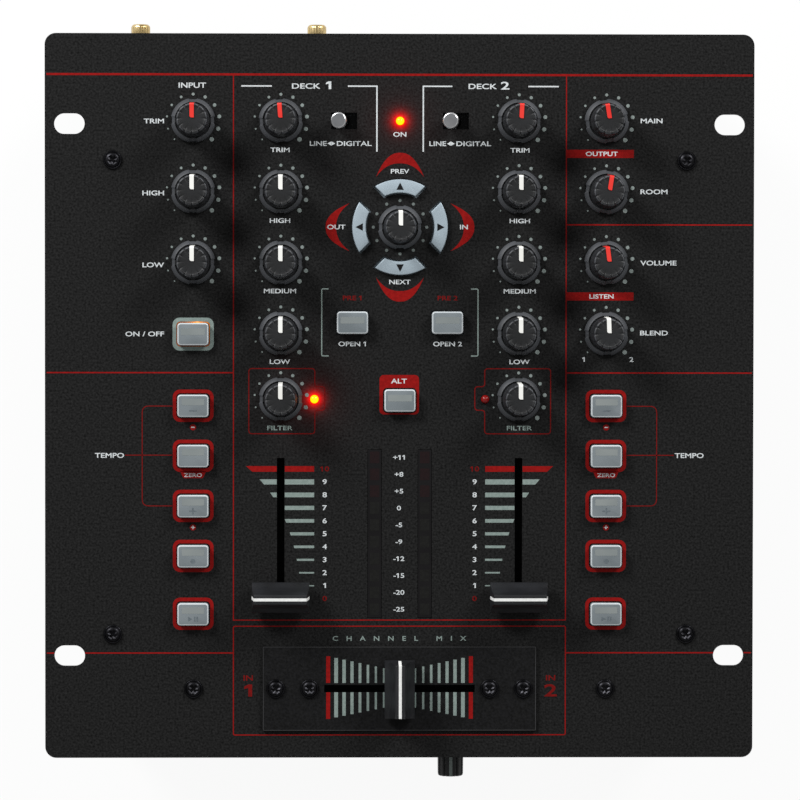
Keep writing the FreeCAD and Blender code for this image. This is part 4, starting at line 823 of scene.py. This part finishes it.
def fader_cap():
    """A waisted block whose ends slope inwards above the shoulder."""
    half = [(4.9, 0.0), (5.25, 0.08), (DEEP_HALF, 0.3), (DEEP_HALF, 3.0), (5.25, 3.3), (4.2, 4.6), (3.3, 6.3),
            (2.65, 8.2), (2.2, 10.4), (1.85, 12.5), (1.6, 12.9), (1.3, RIDGE)]
    outline = half + [(-y, z) for y, z in reversed(half)]
    rows = []
    for station in (-1, -0.985, -0.6, 0, 0.6, 0.985, 1):
        inset = END_ROUNDING if abs(station) == 1 else 0.0
        row = []
        for y, z in outline:
            slope = max(0.0, z - SHOULDER) / (RIDGE - SHOULDER)
            row.append((station * (FOOT_HALF - (FOOT_HALF - RIDGE_HALF) * slope), y * (1 - inset / DEEP_HALF),
                        z * (1 - inset / RIDGE) + inset / 2 * (z < 1)))
        rows.append(row)
    return skin(rows)


def fader(carriage_drop):
    """Cap, stripe, stem and carriage with the cap's underside at z = 0."""
    high = RIDGE + STRIPE_LIFT
    half = [(RIDGE_HALF - STRIPE_DEEP, high - 0.7), (FOOT_HALF - STRIPE_DEEP, SHOULDER),
            (FOOT_HALF + STRIPE_LIFT, SHOULDER), (9.46, high - 0.25), (9.3, high)]
    stripe = slab(half + [(-x, z) for x, z in reversed(half)], -STRIPE_HALF, STRIPE_HALF)
    stripe.transform(TO_FRONT)
    stem = block(1.2, 5.0, 0.2, carriage_drop + 5.0, 6.0, 0.1, 1, 2)
    carriage = block(10.4, 10.0, 0.6, carriage_drop, carriage_drop + 5.0, 0.4, 2)
    rods = together([facing(rod(1.6, -6, 6), TO_FRONT, x, 0, carriage_drop + 2.5) for x in (-3.2, 3.2)])
    steel = coloured(together([stem, hollowed(carriage, rods)]), 2)
    return together([fader_cap(), coloured(stripe, 1), steel])


FADERS = {"left_channel_fader": 0, "right_channel_fader": 0, "crossfader": 90}
for name, turn in FADERS.items():
    low, high = [corner.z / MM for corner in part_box(name)]
    slider = moved(fader(low - high + RIDGE), *middle(name), high - RIDGE, turn)
    control(name, "_cap", slider, (FADER_BLACK, FADER_STRIPE, STEEL_PLATE))


# Indicator lamps and meter windows

METERS, METER_MIDDLE = (-9.0, 9.0), -49.3
METER_FIRST, METER_STEP = -21.88, -6.06
WINDOW_LOW, WINDOW_TOP, SEGMENT_LOW = 88.0, 89.93, 89.91


def led_dome():
    dome = [polar(LED_RADIUS, angle, 0, 0.4) for angle in range(12, 90, 12)]
    return turned([(0, -16.0), (LED_RADIUS, -16.0), (LED_RADIUS, 0.4)] + dome + [(0, LED_PROUD)], 32)


def indicator_lamps():
    forms = []
    for number, (x, y) in enumerate(LIT_LEDS + [DIM_LED]):
        forms.append(coloured(moved(led_dome(), x, y, PANEL_TOP), number))
    for x in METERS:
        window = slab(box_outline(4.9, 60.4, 0.3, x, METER_MIDDLE, 2), WINDOW_LOW, WINDOW_TOP)
        soften(window, 0.1, 1, edge_at(WINDOW_TOP))
        lip = slab(box_outline(7.3, 62.8, 0.3, x, METER_MIDDLE, 2), WINDOW_LOW - 1.0, WINDOW_LOW)
        forms += [coloured(window, 3), coloured(lip, 3)]
    finishes = [lit_lens(f"led_lit_{number}", *spot) for number, spot in enumerate(LIT_LEDS)]
    piece("indicator_lamps", together(forms), CASE, finishes + [LENS_RED, METER_GLASS],
          ("indicator_lenses",))


indicator_lamps()
for name, steps, finish in (("meter_red_segments", range(3), METER_RED),
                            ("meter_dark_segments", range(3, 10), METER_DARK)):
    places = [at(x, METER_FIRST + METER_STEP * step, SEGMENT_LOW) for x in METERS for step in steps]
    set_out(name, slab(box_outline(3.4, 4.2, 0.25, steps=2), 0.0, 0.04), places, finish)


# Panel print: thin raised ink

INK_LOW = PANEL_TOP - PRINT_DEPTH
INK_HIGH = PANEL_TOP + PRINT_PROUD
INK_ON_INK = INK_HIGH + 0.012
EDGE = PANEL_HALF - 0.6
FIELD, NEXT_FIELD = 59.6, 59.8
RACK_SLOT_NEAR, RACK_SLOT_FAR = 112.8, 123.7
red, dark_red, white, grey = [], [], [], []


def stroke(points, width=0.4, corner=0.0, closed=False):
    path = rounded_path(points, corner, closed=closed) if corner else points
    return line(path, width, INK_LOW, INK_HIGH, closed)


def field(outline):
    return slab(outline, INK_LOW, INK_HIGH)


def surround(outer, inner):
    return band(outer, inner, INK_LOW, INK_HIGH)


def mirrored(points):
    """The points on the left and on the right half, both in the same turning sense."""
    return [[(side * x, y) for x, y in points][::side] for side in (-1, 1)]


# Lines of the middle field and of the right-hand column
red.append(stroke([(-EDGE, 115.1), (EDGE, 115.1)], 0.8))
red.append(stroke([(-FIELD, 114.7), (-FIELD, -80.3), (FIELD, -80.3), (FIELD, 114.7)]))
red.append(stroke(rectangle(-FIELD, -121.6, FIELD, -82.5), corner=0.6, closed=True))
red.append(stroke([(NEXT_FIELD, 61.56), (EDGE, 61.56)], 0.5))
for top in (88.44, 37.37):
    red.append(field(rectangle(NEXT_FIELD, top - 2.94, 83.8, top)))

# Lines on both halves: shade, path, width, corner
HALF_LINES = [
    (red, [(NEXT_FIELD, 8.45), (EDGE, 8.45)], 0.5, 0),
    (red, [(NEXT_FIELD, -92.1), (RACK_SLOT_NEAR, -92.1)], 0.5, 0),
    (red, [(RACK_SLOT_FAR, -92.1), (EDGE, -92.1)], 0.5, 0),
    # Between the tempo buttons
    (dark_red, [(81.5, -3.5), (92.25, -3.5), (92.25, -39.3), (81.5, -39.3)], 0.35, 2.4),
    (dark_red, [(81.5, -21.1), (98.4, -21.1)], 0.35, 0),
    # Brackets
    (white, [(56.8, 111.0), (45.9, 111.0)], 0.5, 0),
    (white, [(18.7, 111.0), (8.3, 111.0), (8.3, 87.6)], 0.5, 0),
    (grey, [(25.5, 38.5), (28.0, 38.5), (28.0, 14.5), (25.5, 14.5)], 0.4, 0.5),
]
for shade, points, width, corner in HALF_LINES:
    shade += [stroke(path, width, corner) for path in mirrored(points)]

# Boxes round the filter knobs with a bulge round the lamp
FILTER_BOX = [(30.45, 9.95), (54.1, 9.95), (54.1, -13.4), (30.45, -13.4), (30.45, -4.95), (26.9, -4.95),
              (26.9, 3.5), (30.45, 3.5)]
dark_red += [stroke(path, 0.4, 1.2, True) for path in mirrored(FILTER_BOX)]

# Fields round the buttons
for name in BUTTONS:
    x, y = middle(name)
    hole = box_outline(12.1, 9.0, 1.5, x, y)
    if name == "mic_button":
        grey.append(surround(box_outline(14.75, 11.8, 2.5, x, y), hole))
    elif name == "shift_button":
        red.append(surround(box_outline(14.2, 14.2, 1.6, -0.2, 0.6), hole))
    elif not name.startswith("load"):
        red.append(surround(box_outline(14.6, 11.6, 2.6, x, y), hole))
    if name.endswith("bend_button"):
        red.append(field([(x - 4.6, y - 5.6), (x - 3.9, y - 7.3), (x - 3.3, y - 8.0), (x + 3.3, y - 8.0),
                          (x + 3.9, y - 7.3), (x + 4.6, y - 5.6)]))


def button_glow():
    """Amber light in the gap round the microphone button, strongest at the rear."""
    x, y = middle("mic_button")
    finish = Finish("amber_gap_light", 0.5)
    finish.tint(finish.grain(900), (150, 70, 10), (190, 95, 20))
    light = finish.fading(finish.reach(x + 1.5, y + 4.3, PANEL_TOP), 3.4, 0.55)
    finish.set(Emission_Strength=light, Emission_Color=(1.0, 0.32, 0.02, 1.0))
    ring = band(box_outline(11.96, 8.86, 1.45, x, y), box_outline(11.44, 8.34, 1.25, x, y), 89.0, 89.96)
    piece("mic_button_glow", ring, CASE, (finish,))


button_glow()

# Minus and plus on discs by the tempo buttons
SIGN_LONG, SIGN_THIN = 0.65, 0.18
for x in (-74.1, 74.1):
    for y, plus in ((-11.1, False), (-47.0, True)):
        red.append(field(circle(x, y, 1.1, 24)))
        low, high = INK_HIGH - 0.01, INK_HIGH + 0.01
        white.append(slab(rectangle(x - SIGN_LONG, y - SIGN_THIN, x + SIGN_LONG, y + SIGN_THIN), low, high))
        if plus:
            upright = rectangle(x - SIGN_THIN, y - SIGN_LONG, x + SIGN_THIN, y + SIGN_LONG)
            white.append(slab(upright, low, high + 0.004))


def crescent(turn):
    """A moon with pointed ends outside a browse key."""
    half, tips = 8.6, 18.0
    shares = [step / 12 - 1 for step in range(25)]
    lower, upper = [[(half * share, crest - (crest - tips) * abs(share) ** 2.35) for share in shares]
                    for crest in (22.85, 26.65)]
    return moved(field(lower[1:-1] + upper[::-1]), BROWSE_X, BROWSE_Y, 0, turn)


red += [crescent(turn) for turn in KEY_TURNS.values()]

# Channel fader scales: ten bars that shorten downwards, broken by the slot
SCALE_TOP, SCALE_STEP, SCALE_NEAR = -26.02, 4.66, 30.67
SLOT_NEAR, SLOT_FAR = 41.2, 44.1


def bar_reach(y):
    return 33.1 + 20.85 * exp(-0.245 * (SCALE_TOP - y) / SCALE_STEP)


for step in range(10):
    y = SCALE_TOP - SCALE_STEP * step
    half = (2.05 - 0.185 * step) / 2
    upper, lower = bar_reach(y + half), bar_reach(y - half)
    bars = [(SCALE_NEAR, min(upper, SLOT_NEAR), min(lower, SLOT_NEAR))]
    if lower > SLOT_FAR:
        bars.append((SLOT_FAR, upper, lower))
    for near, far_up, far_low in bars:
        outline = [(near, y - half), (far_low, y - half), (far_up, y + half), (near, y + half)]
        shade = grey if step else red
        shade += [field(path) for path in mirrored(outline)]


# Lettering: plain words and numbers

ONE_STEM, ONE_FLAG = 0.14, 0.15
LETTER_WEIGHT, LETTER_HEIGHT = 0.017, 0.8


def glyphs(form):
    """The corners of each letter, from left to right."""
    rest, letters = set(form.verts), []
    while rest:
        letter, front = [], [rest.pop()]
        while front:
            corner = front.pop()
            letter.append(corner)
            found = {edge.other_vert(corner) for edge in corner.link_edges} & rest
            rest -= found
            front += found
        letters.append(letter)
    return sorted(letters, key=lambda letter: min(corner.co.x for corner in letter))


def flagged_ones(form, words):
    """The same letters, with a clear flag on each figure 1."""
    ones = []
    for sign, letter in zip(words.replace(" ", ""), glyphs(form)):
        if sign == "1":
            right = max(corner.co.x for corner in letter)
            low, top = [end(corner.co.y for corner in letter) for end in (min, max)]
            stem, tip = right - ONE_STEM, right - ONE_STEM - ONE_FLAG
            flag = [(stem, top - 0.2), (stem, top), (tip, top - 0.13), (tip, top - 0.28)]
            ones += [slab(outline, -0.5, 0.5) for outline in (rectangle(stem, low, right, top), flag)]
            bmesh.ops.delete(form, geom=letter, context="VERTS")
    return together([form] + ones) if ones else form


def write(shade, words, x, y, tall=1.85, wide=1.34, spacing=1.0, high=INK_HIGH, side="middle"):
    """Adds words to a shade, with their middle, left or right end at x."""
    curve = bpy.data.curves.new("words", "FONT")
    curve.body = words
    curve.align_x = curve.align_y = "CENTER"
    curve.space_character = spacing
    curve.offset = LETTER_WEIGHT
    curve.extrude = 0.5
    curve.resolution_u = 4
    source = linked("words", curve)
    form = form_from(mesh_now(source))
    bpy.data.objects.remove(source)
    bmesh.ops.remove_doubles(form, verts=form.verts, dist=1e-5)
    form = flagged_ones(form, words)
    left, right = [end(corner.co.x for corner in form.verts) for end in (min, max)]
    low, top = [end(corner.co.y for corner in form.verts) for end in (min, max)]
    across = {"left": left, "right": right, "middle": (left + right) / 2}[side]
    size = tall / LETTER_HEIGHT
    for corner in form.verts:
        place = corner.co
        corner.co = (x + (place.x - across) * size * wide, y + (place.y - (low + top) / 2) * size,
                     high - (0.5 - place.z) * (PRINT_DEPTH + PRINT_PROUD))
    shade.append(form)


for words, y in (("TRIM", 98.4), ("HIGH", 72.7), ("LOW", 47.0), ("ON / OFF", 22.3)):
    write(white, words, -84.4, y, 1.9, 1.4, side="right")
for words, y in (("MAIN", 98.8), ("ROOM", 73.4), ("VOLUME", 47.9), ("BLEND", 22.8)):
    write(white, words, 86.2, y, 1.9, 1.4, side="left")
MIDDLE_WORDS = [
    ("INPUT", -74.3, 111.2, 2.1), ("ON", -0.1, 93.8, 1.85), ("PREV", 0.0, 80.6, 1.8),
    ("NEXT", 0.0, 41.0, 1.8), ("OPEN 1", -17.1, 18.8, 1.85), ("OPEN 2", 17.1, 18.8, 1.85),
    ("1", 65.9, 13.3, 1.85), ("2", 83.1, 13.3, 1.85),
]
WORDS_ON_RED = [
    ("OUT", -22.8, 60.65, 1.85), ("IN", 22.9, 60.7, 1.85), ("OUTPUT", 72.3, 86.97, 1.75),
    ("LISTEN", 72.3, 35.9, 1.75), ("ALT", -0.3, 5.5, 1.9), ("ZERO", -74.1, -28.25, 1.5),
    ("ZERO", 74.1, -28.25, 1.5),
]
for rows, high in ((MIDDLE_WORDS, INK_HIGH), (WORDS_ON_RED, INK_ON_INK)):
    for words, x, y, tall in rows:
        write(white, words, x, y, tall, high=high)
for side, number in ((-1, "1"), (1, "2")):
    column, title, choice = side * 42.95, side * 31.6, side * 21.4
    for words, y in (("TRIM", 88.2), ("HIGH", 62.9), ("MEDIUM", 37.7), ("LOW", 12.4)):
        write(white, words, column, y, 1.8, 1.4)
    write(grey, "FILTER", column, -11.35, 1.8, 1.4)
    write(white, "DECK", title - 2.0, 111.0, 2.1, 1.5)
    write(white, number, title + 6.0, 111.3, 3.1, 1.7)
    write(white, "LINE", choice - 7.9, 90.5, 1.9, 1.3)
    write(white, "DIGITAL", choice + 5.0, 90.5, 1.9, 1.42)
    for way in (-1, 1):
        base = choice - 3.2 + way * 0.05
        white.append(field([(base + way * 1.35, 90.5), (base, 91.25), (base, 89.75)]))
    write(dark_red, "PRE " + number, side * 17.1, 35.25)
    write(white, "TEMPO", side * 103.95, -21.2, 1.95)
    write(dark_red, "IN", side * 54.3, -101.1, 2.2)
    write(dark_red, number, side * 54.3, -105.6, 4.9, 1.6)
    for step in range(11):
        shade = dark_red if step in (0, 10) else white
        write(shade, str(10 - step), side * 26.9, -26.0 - 4.654 * step, 2.0)
write(grey, "CHANNEL MIX", 0, -86.9, 1.9, 1.25, 2.9)
METER_MARKS = ("+11", "+8", "+5", "0", "-5", "-9", "-12", "-15", "-20", "-25")
for step, words in enumerate(METER_MARKS):
    write(white, words, -0.27, METER_FIRST + METER_STEP * step)

PRINTS = {"red": (red, PRINT_RED), "dark_red": (dark_red, PRINT_DARK_RED), "white": (white, PRINT_WHITE),
          "grey": (grey, PRINT_GREY)}
for name, (forms, finish) in PRINTS.items():
    piece("panel_print_" + name, together(forms), CASE, (finish,))


# Dot rings round the knobs

def dot_rings(name, spots, count, radius, start, step, first, last, finish):
    places = [at(x, y, PANEL_TOP + (PRINT_PROUD - PRINT_DEPTH) / 2) for x, y in spots]
    mesh = grown(DOT_RINGS, places, {
        "Count": count, "Radius": radius * MM, "Start": radians(start), "Step": radians(step),
        "First size": first * MM, "Growth": (last - first) / (count - 1) * MM,
        "Thickness": (PRINT_DEPTH + PRINT_PROUD) * MM, "Finish": finish.material,
    })
    settle(shown(name, mesh), CASE)


POT_SPOTS = [(x, y) for name, (x, y, turn) in KNOB_SPOTS.items() if name != "browse_knob"]
dot_rings("knob_dot_rings", POT_SPOTS, 11, 9.45, -135, 27, 0.55, 1.6, PRINT_DOT)
dot_rings("browse_dot_ring", [(BROWSE_X, BROWSE_Y)], 12, 9.55, 0, 30, 1.12, 1.12, PRINT_DIM_DOT)


# Crossfader scale on its plate: bars that shorten towards the middle

PLATE_MIDDLE = -104.85
CROSS_SLOT_REAR, CROSS_SLOT_FRONT = -102.8, -106.15


def crossfader_bars():
    bar = slab(rectangle(-0.5, 0, 0.5, 1), -PRINT_DEPTH, PRINT_PROUD)
    greys, reds = [], []
    for side in (-1, 1):
        for step in range(8):
            share = step / 7
            x, wide = side * (25.6 - 2.85 * step), 1.47 - 0.82 * share
            top, bottom = -93.2 - 4.3 * share, -115.7 + 4.0 * share
            for low, high in ((CROSS_SLOT_REAR, top), (bottom, CROSS_SLOT_FRONT)):
                (greys if step else reds).append(at(x, low, PLATE_TOP, stretch=(wide, high - low, 1)))
    set_out("crossfader_red_bars", bar.copy(), reds, PRINT_RED)
    set_out("crossfader_grey_bars", bar, greys, PRINT_GREY)


crossfader_bars()
# A thin band of painted highlight round the plate's top edge
plate_edge = band(box_outline(97.9, 30.1, 0.3, 0, PLATE_MIDDLE),
                  box_outline(97.5, 29.7, 0.2, 0, PLATE_MIDDLE), PLATE_TOP - 0.01, PLATE_TOP + 0.012)
piece("crossfader_plate_edge", plate_edge, CASE, (PLATE_EDGE_HIGHLIGHT,))


# Black cross-head screws

def cross_arm(half_long, half_wide):
    """One arm of the driver cross, with steep walls below wide chamfers."""
    levels = [(-0.15, 0.5), (0.0, 1.15), (0.62, 1.62), (0.9, 2.4)]
    points, faces = [], []
    for spread, height in levels:
        x, y = half_long + spread, half_wide + spread
        points += [(*corner, height) for corner in rectangle(-x, -y, x, y)]
    for level in range(0, 4 * (len(levels) - 1), 4):
        for step in range(4):
            after = (step + 1) % 4
            faces.append([level + step, level + after, level + 4 + after, level + 4 + step])
    faces += [[3, 2, 1, 0], [len(points) - 4 + step for step in range(4)]]
    return form_of(points, faces)


def screw():
    """A pan head with a bead round its edge and a driver cross."""
    head = turned([(0, -7.0), (1.3, -7.0), (1.5, -6.7), (1.5, 0), (3.2, 0), (3.36, 0.12), (3.4, 0.35),
                   (3.3, 0.62), (3.1, 0.76), (2.92, 0.72), (2.8, 0.66), (2.7, 0.78), (2.5, 1.1), (2.1, 1.38),
                   (1.5, 1.55), (0, 1.6)], 48)
    for half_long, half_wide in ((1.3, 0.36), (0.36, 1.3)):
        head = hollowed(head, cross_arm(half_long, half_wide))
    return head


# On the panel and its plate: distance from the middle, y, height and turn
TOP_SCREWS = [(102.8, 84.5, PANEL_TOP, 38), (102.8, -85.3, PANEL_TOP, 52), (73.9, -105.0, PANEL_TOP, 40),
              (44.4, PLATE_MIDDLE, PLATE_TOP, 35), (32.3, PLATE_MIDDLE, PLATE_TOP, 47)]
SCREWS = [at(side * x, y, z, (0, 0, turn)) for x, y, z, turn in TOP_SCREWS for side in (-1, 1)]
SCREWS += [at(side * 110.0, 112.55, z, (0, side * 90, 0)) for side in (-1, 1) for z in (28.0, 68.0)]
set_out("cross_head_screws", screw(), SCREWS, SCREW_BLACK, ("case_screws",))


# Rubber feet

FEET = [at(side * 90.0, y, 0.0) for side in (-1, 1) for y in (-103.25, 99.75)]
foot = turned([(0, 4.0), (4.0, 4.0), (4.0, 0.3), (4.3, 0.0), (8.0, 0.0), (8.5, 0.25), (8.75, 0.9), (9.9, 7.3),
               (10.0, 7.8), (9.9, 8.0), (0, 8.0)], 48)
set_out("rubber_feet_turned", foot, FEET, FOOT_RUBBER, ("rubber_feet",))


# Ground posts with knurled thumb nuts

def ground_post():
    def knurled(angle, radius, height):
        if radius > 3.2 and 5.0 < height < 17.9:
            radius -= 0.14 * (1 - cos(30 * angle)) / 2
        return radius, height

    side = [(0, -6.0), (1.9, -6.0), (1.9, 1.2), (4.4, 1.2), (4.5, 1.3), (4.5, 2.6), (4.4, 2.8), (2.3, 2.8),
            (2.3, 4.4), (3.2, 4.4), (3.48, 4.7), (3.5, 5.2), (3.5, 9.2), (3.35, 9.6), (3.15, 9.8),
            (3.35, 10.0), (3.5, 10.4), (3.5, 17.4), (3.3, 18.0), (2.8, 18.5), (0, 18.55)]
    return turned(side, 120, knurled)


BACKWARDS = (-90, 0, 0)
POSTS = [at(x, 118.55, 30.0, BACKWARDS) for x in (-95.5, -29.9)]
set_out("ground_posts_knurled", ground_post(), POSTS, GOLD_PLATE, ("ground_posts",), 60)


# Sockets on the front and rear walls, built upright on the wall's inner face

WALL = 1.2
FRONT_INNER = FRONT_FACE + WALL
REAR_INNER = REAR_FACE - WALL
JACK_PROUD, NUT_HIGH = 2.0, 1.6


def jack(body, depth, bushing, bore, bore_depth):
    """Black case, nickel bushing and nut round a bore, from the widths of each."""
    mouth = WALL + JACK_PROUD
    outer, inner = bushing / 2, bore / 2
    case = hollowed(block(body, body, 0.6, -depth, 0, 0.3, 2), rod(inner, mouth - bore_depth, 5, 40))
    ring = turned([(inner, -0.5), (outer - 0.05, -0.5), (outer - 0.05, mouth - 0.3), (outer - 0.4, mouth),
                   (inner + 0.5, mouth), (inner, mouth - 0.5)], 48, loop=True)
    nut = soften(slab(circle(0, 0, outer + 1.95, 6), WALL, WALL + NUT_HIGH), 0.25, 2)
    nut = hollowed(nut, rod(outer, -1, 6, 48))
    return together([coloured(case, 0), coloured(ring, 1), coloured(nut, 1)])


QUARTER_JACK = (15.0, 27.0, 10.6, 6.5, 26.0)
MINI_JACK = (10.8, 15.0, 6.8, 3.7, 14.5)
JACKS = [(MINI_JACK, TO_FRONT, -38.0, FRONT_INNER, 45.0)]
JACKS += [(QUARTER_JACK, way, x, y, z) for way, x, y, z in (
    (TO_FRONT, -62.0, FRONT_INNER, 45.0), (TO_REAR, 42.0, REAR_INNER, 40.0),
    (TO_REAR, 62.0, REAR_INNER, 40.0), (TO_REAR, 82.0, REAR_INNER, 54.0))]
jacks = [facing(jack(*sizes), *place) for sizes, *place in JACKS]
piece("jack_sockets_turned", together(jacks), CASE, (SOCKET_BLACK, SOCKET_NICKEL),
      ("jack_sockets",))

PHONO_COLUMNS = (-80.0, -64.0, -48.0, -14.0, 2.0, 18.0)
LOWER_ROW, UPPER_ROW = 29.0, 49.0


def phonos(name, form, rows, finish, nodes=()):
    places = [at(x, REAR_INNER, z, BACKWARDS) for x in PHONO_COLUMNS for z in rows]
    set_out(name, form, places, finish, nodes)


phonos("phono_housings", block(12.0, 36.0, 0.8, -12.0, 0.0, 0.3, 2), (39.0,), SOCKET_BLACK,
       ("phono_sockets",))
shell = turned([(1.6, -3.3), (4.1, -3.3), (4.15, WALL), (4.15, 8.9), (4.05, 9.4), (3.8, 9.7), (3.3, 9.7),
                (3.1, 9.5), (3.1, 5.6), (2.9, 5.4), (1.7, 5.4), (1.6, 5.2)], 48, loop=True)
phonos("phono_shells", shell, (LOWER_ROW, UPPER_ROW), SOCKET_NICKEL)
insert = turned([(1.6, 4.0), (3.12, 4.0), (3.12, 7.6), (2.9, 7.8), (1.9, 7.8), (1.6, 7.5)], 40, loop=True)
phonos("phono_inserts", insert, (LOWER_ROW, UPPER_ROW), SOCKET_BLACK)
collar = turned([(4.1, 0.0), (5.2, 0.0), (5.2, 1.5), (5.05, 1.7), (4.1, 1.7)], 48, loop=True)
phonos("phono_red_collars", collar.copy(), (LOWER_ROW,), SOCKET_RED)
phonos("phono_white_collars", collar, (UPPER_ROW,), SOCKET_WHITE)


# Light, floor and camera, in metres

LIGHT_AIM = Vector((0, 0, 0.08))
SOFTBOX_WIDE = 0.5
SKY_STRENGTH = 0.3
FLOOR_HALF, FLOOR_WHITE, FLOOR_GLOW = 12.0, 0.96, 0.93
CAMERA_PLACE = (-0.0273255, 0.0317459, 1.490)
CAMERA_TURNS = (("Z", 0.001139143), ("Y", -0.019542504), ("X", -0.023610377))
FOCAL_LENGTH, SENSOR_WIDE = 175.83, 36.0


def lamp(name, place, power):
    data = bpy.data.lights.new(name, "AREA")
    data.shape = "DISK"
    data.size = SOFTBOX_WIDE
    data.energy = power
    thing = linked(name, data)
    thing.location = place
    thing.rotation_euler = (LIGHT_AIM - thing.location).to_track_quat("-Z", "Y").to_euler()


lamp("left_softbox", (-0.85, 0.9, 0.8), 17.0)
lamp("right_softbox", (0.85, 0.9, 0.8), 11.5)

world = bpy.data.worlds.new("studio")
bpy.context.scene.world = world
world.use_nodes = True
sky = world.node_tree.nodes["Background"].inputs
sky["Color"].default_value = (1, 1, 1, 1)
sky["Strength"].default_value = SKY_STRENGTH


def studio_floor():
    """A floor that looks white to the camera and in mirrors, and takes soft shadows."""
    mesh = bpy.data.meshes.new("studio_floor")
    corners = rectangle(-FLOOR_HALF, -FLOOR_HALF, FLOOR_HALF, FLOOR_HALF)
    mesh.from_pydata([(x, y, 0) for x, y in corners], [], [(0, 1, 2, 3)])
    floor = linked("studio_floor", mesh)
    material = bpy.data.materials.new("pale_floor")
    material.use_nodes = True
    tree = Nodes(material.node_tree)
    tree.nodes.clear()
    rays = tree.nodes.new("ShaderNodeLightPath").outputs
    seen = rays["Is Camera Ray"]
    for kind in ("Is Glossy Ray", "Is Transmission Ray"):
        seen = tree.math("MAXIMUM", seen, rays[kind])
    mix = tree.add("ShaderNodeMixShader", Fac=tree.math("MULTIPLY", seen, FLOOR_GLOW))
    paint = tree.add("ShaderNodeBsdfDiffuse", Color=(FLOOR_WHITE, FLOOR_WHITE, FLOOR_WHITE, 1))
    glow = tree.nodes.new("ShaderNodeEmission")
    tree.feed(mix.inputs[1], paint.outputs["BSDF"])
    tree.feed(mix.inputs[2], glow.outputs["Emission"])
    tree.add("ShaderNodeOutputMaterial", Surface=mix.outputs["Shader"])
    mesh.materials.append(material)
    floor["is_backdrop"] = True


studio_floor()

lens = bpy.data.cameras.new("overhead_camera")
lens.sensor_width = SENSOR_WIDE
lens.sensor_fit = "HORIZONTAL"
lens.lens = FOCAL_LENGTH
lens.clip_start = 0.05
lens.clip_end = 60.0
camera = linked("overhead_camera", lens)
stand = Matrix.Translation(CAMERA_PLACE)
for axis, angle in CAMERA_TURNS:
    stand = stand @ Matrix.Rotation(angle, 4, axis)
camera.matrix_world = stand
bpy.context.scene.camera = camera
bpy.context.scene.view_settings.view_transform = "Standard"

bpy.context.view_layer.update()
low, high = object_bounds()
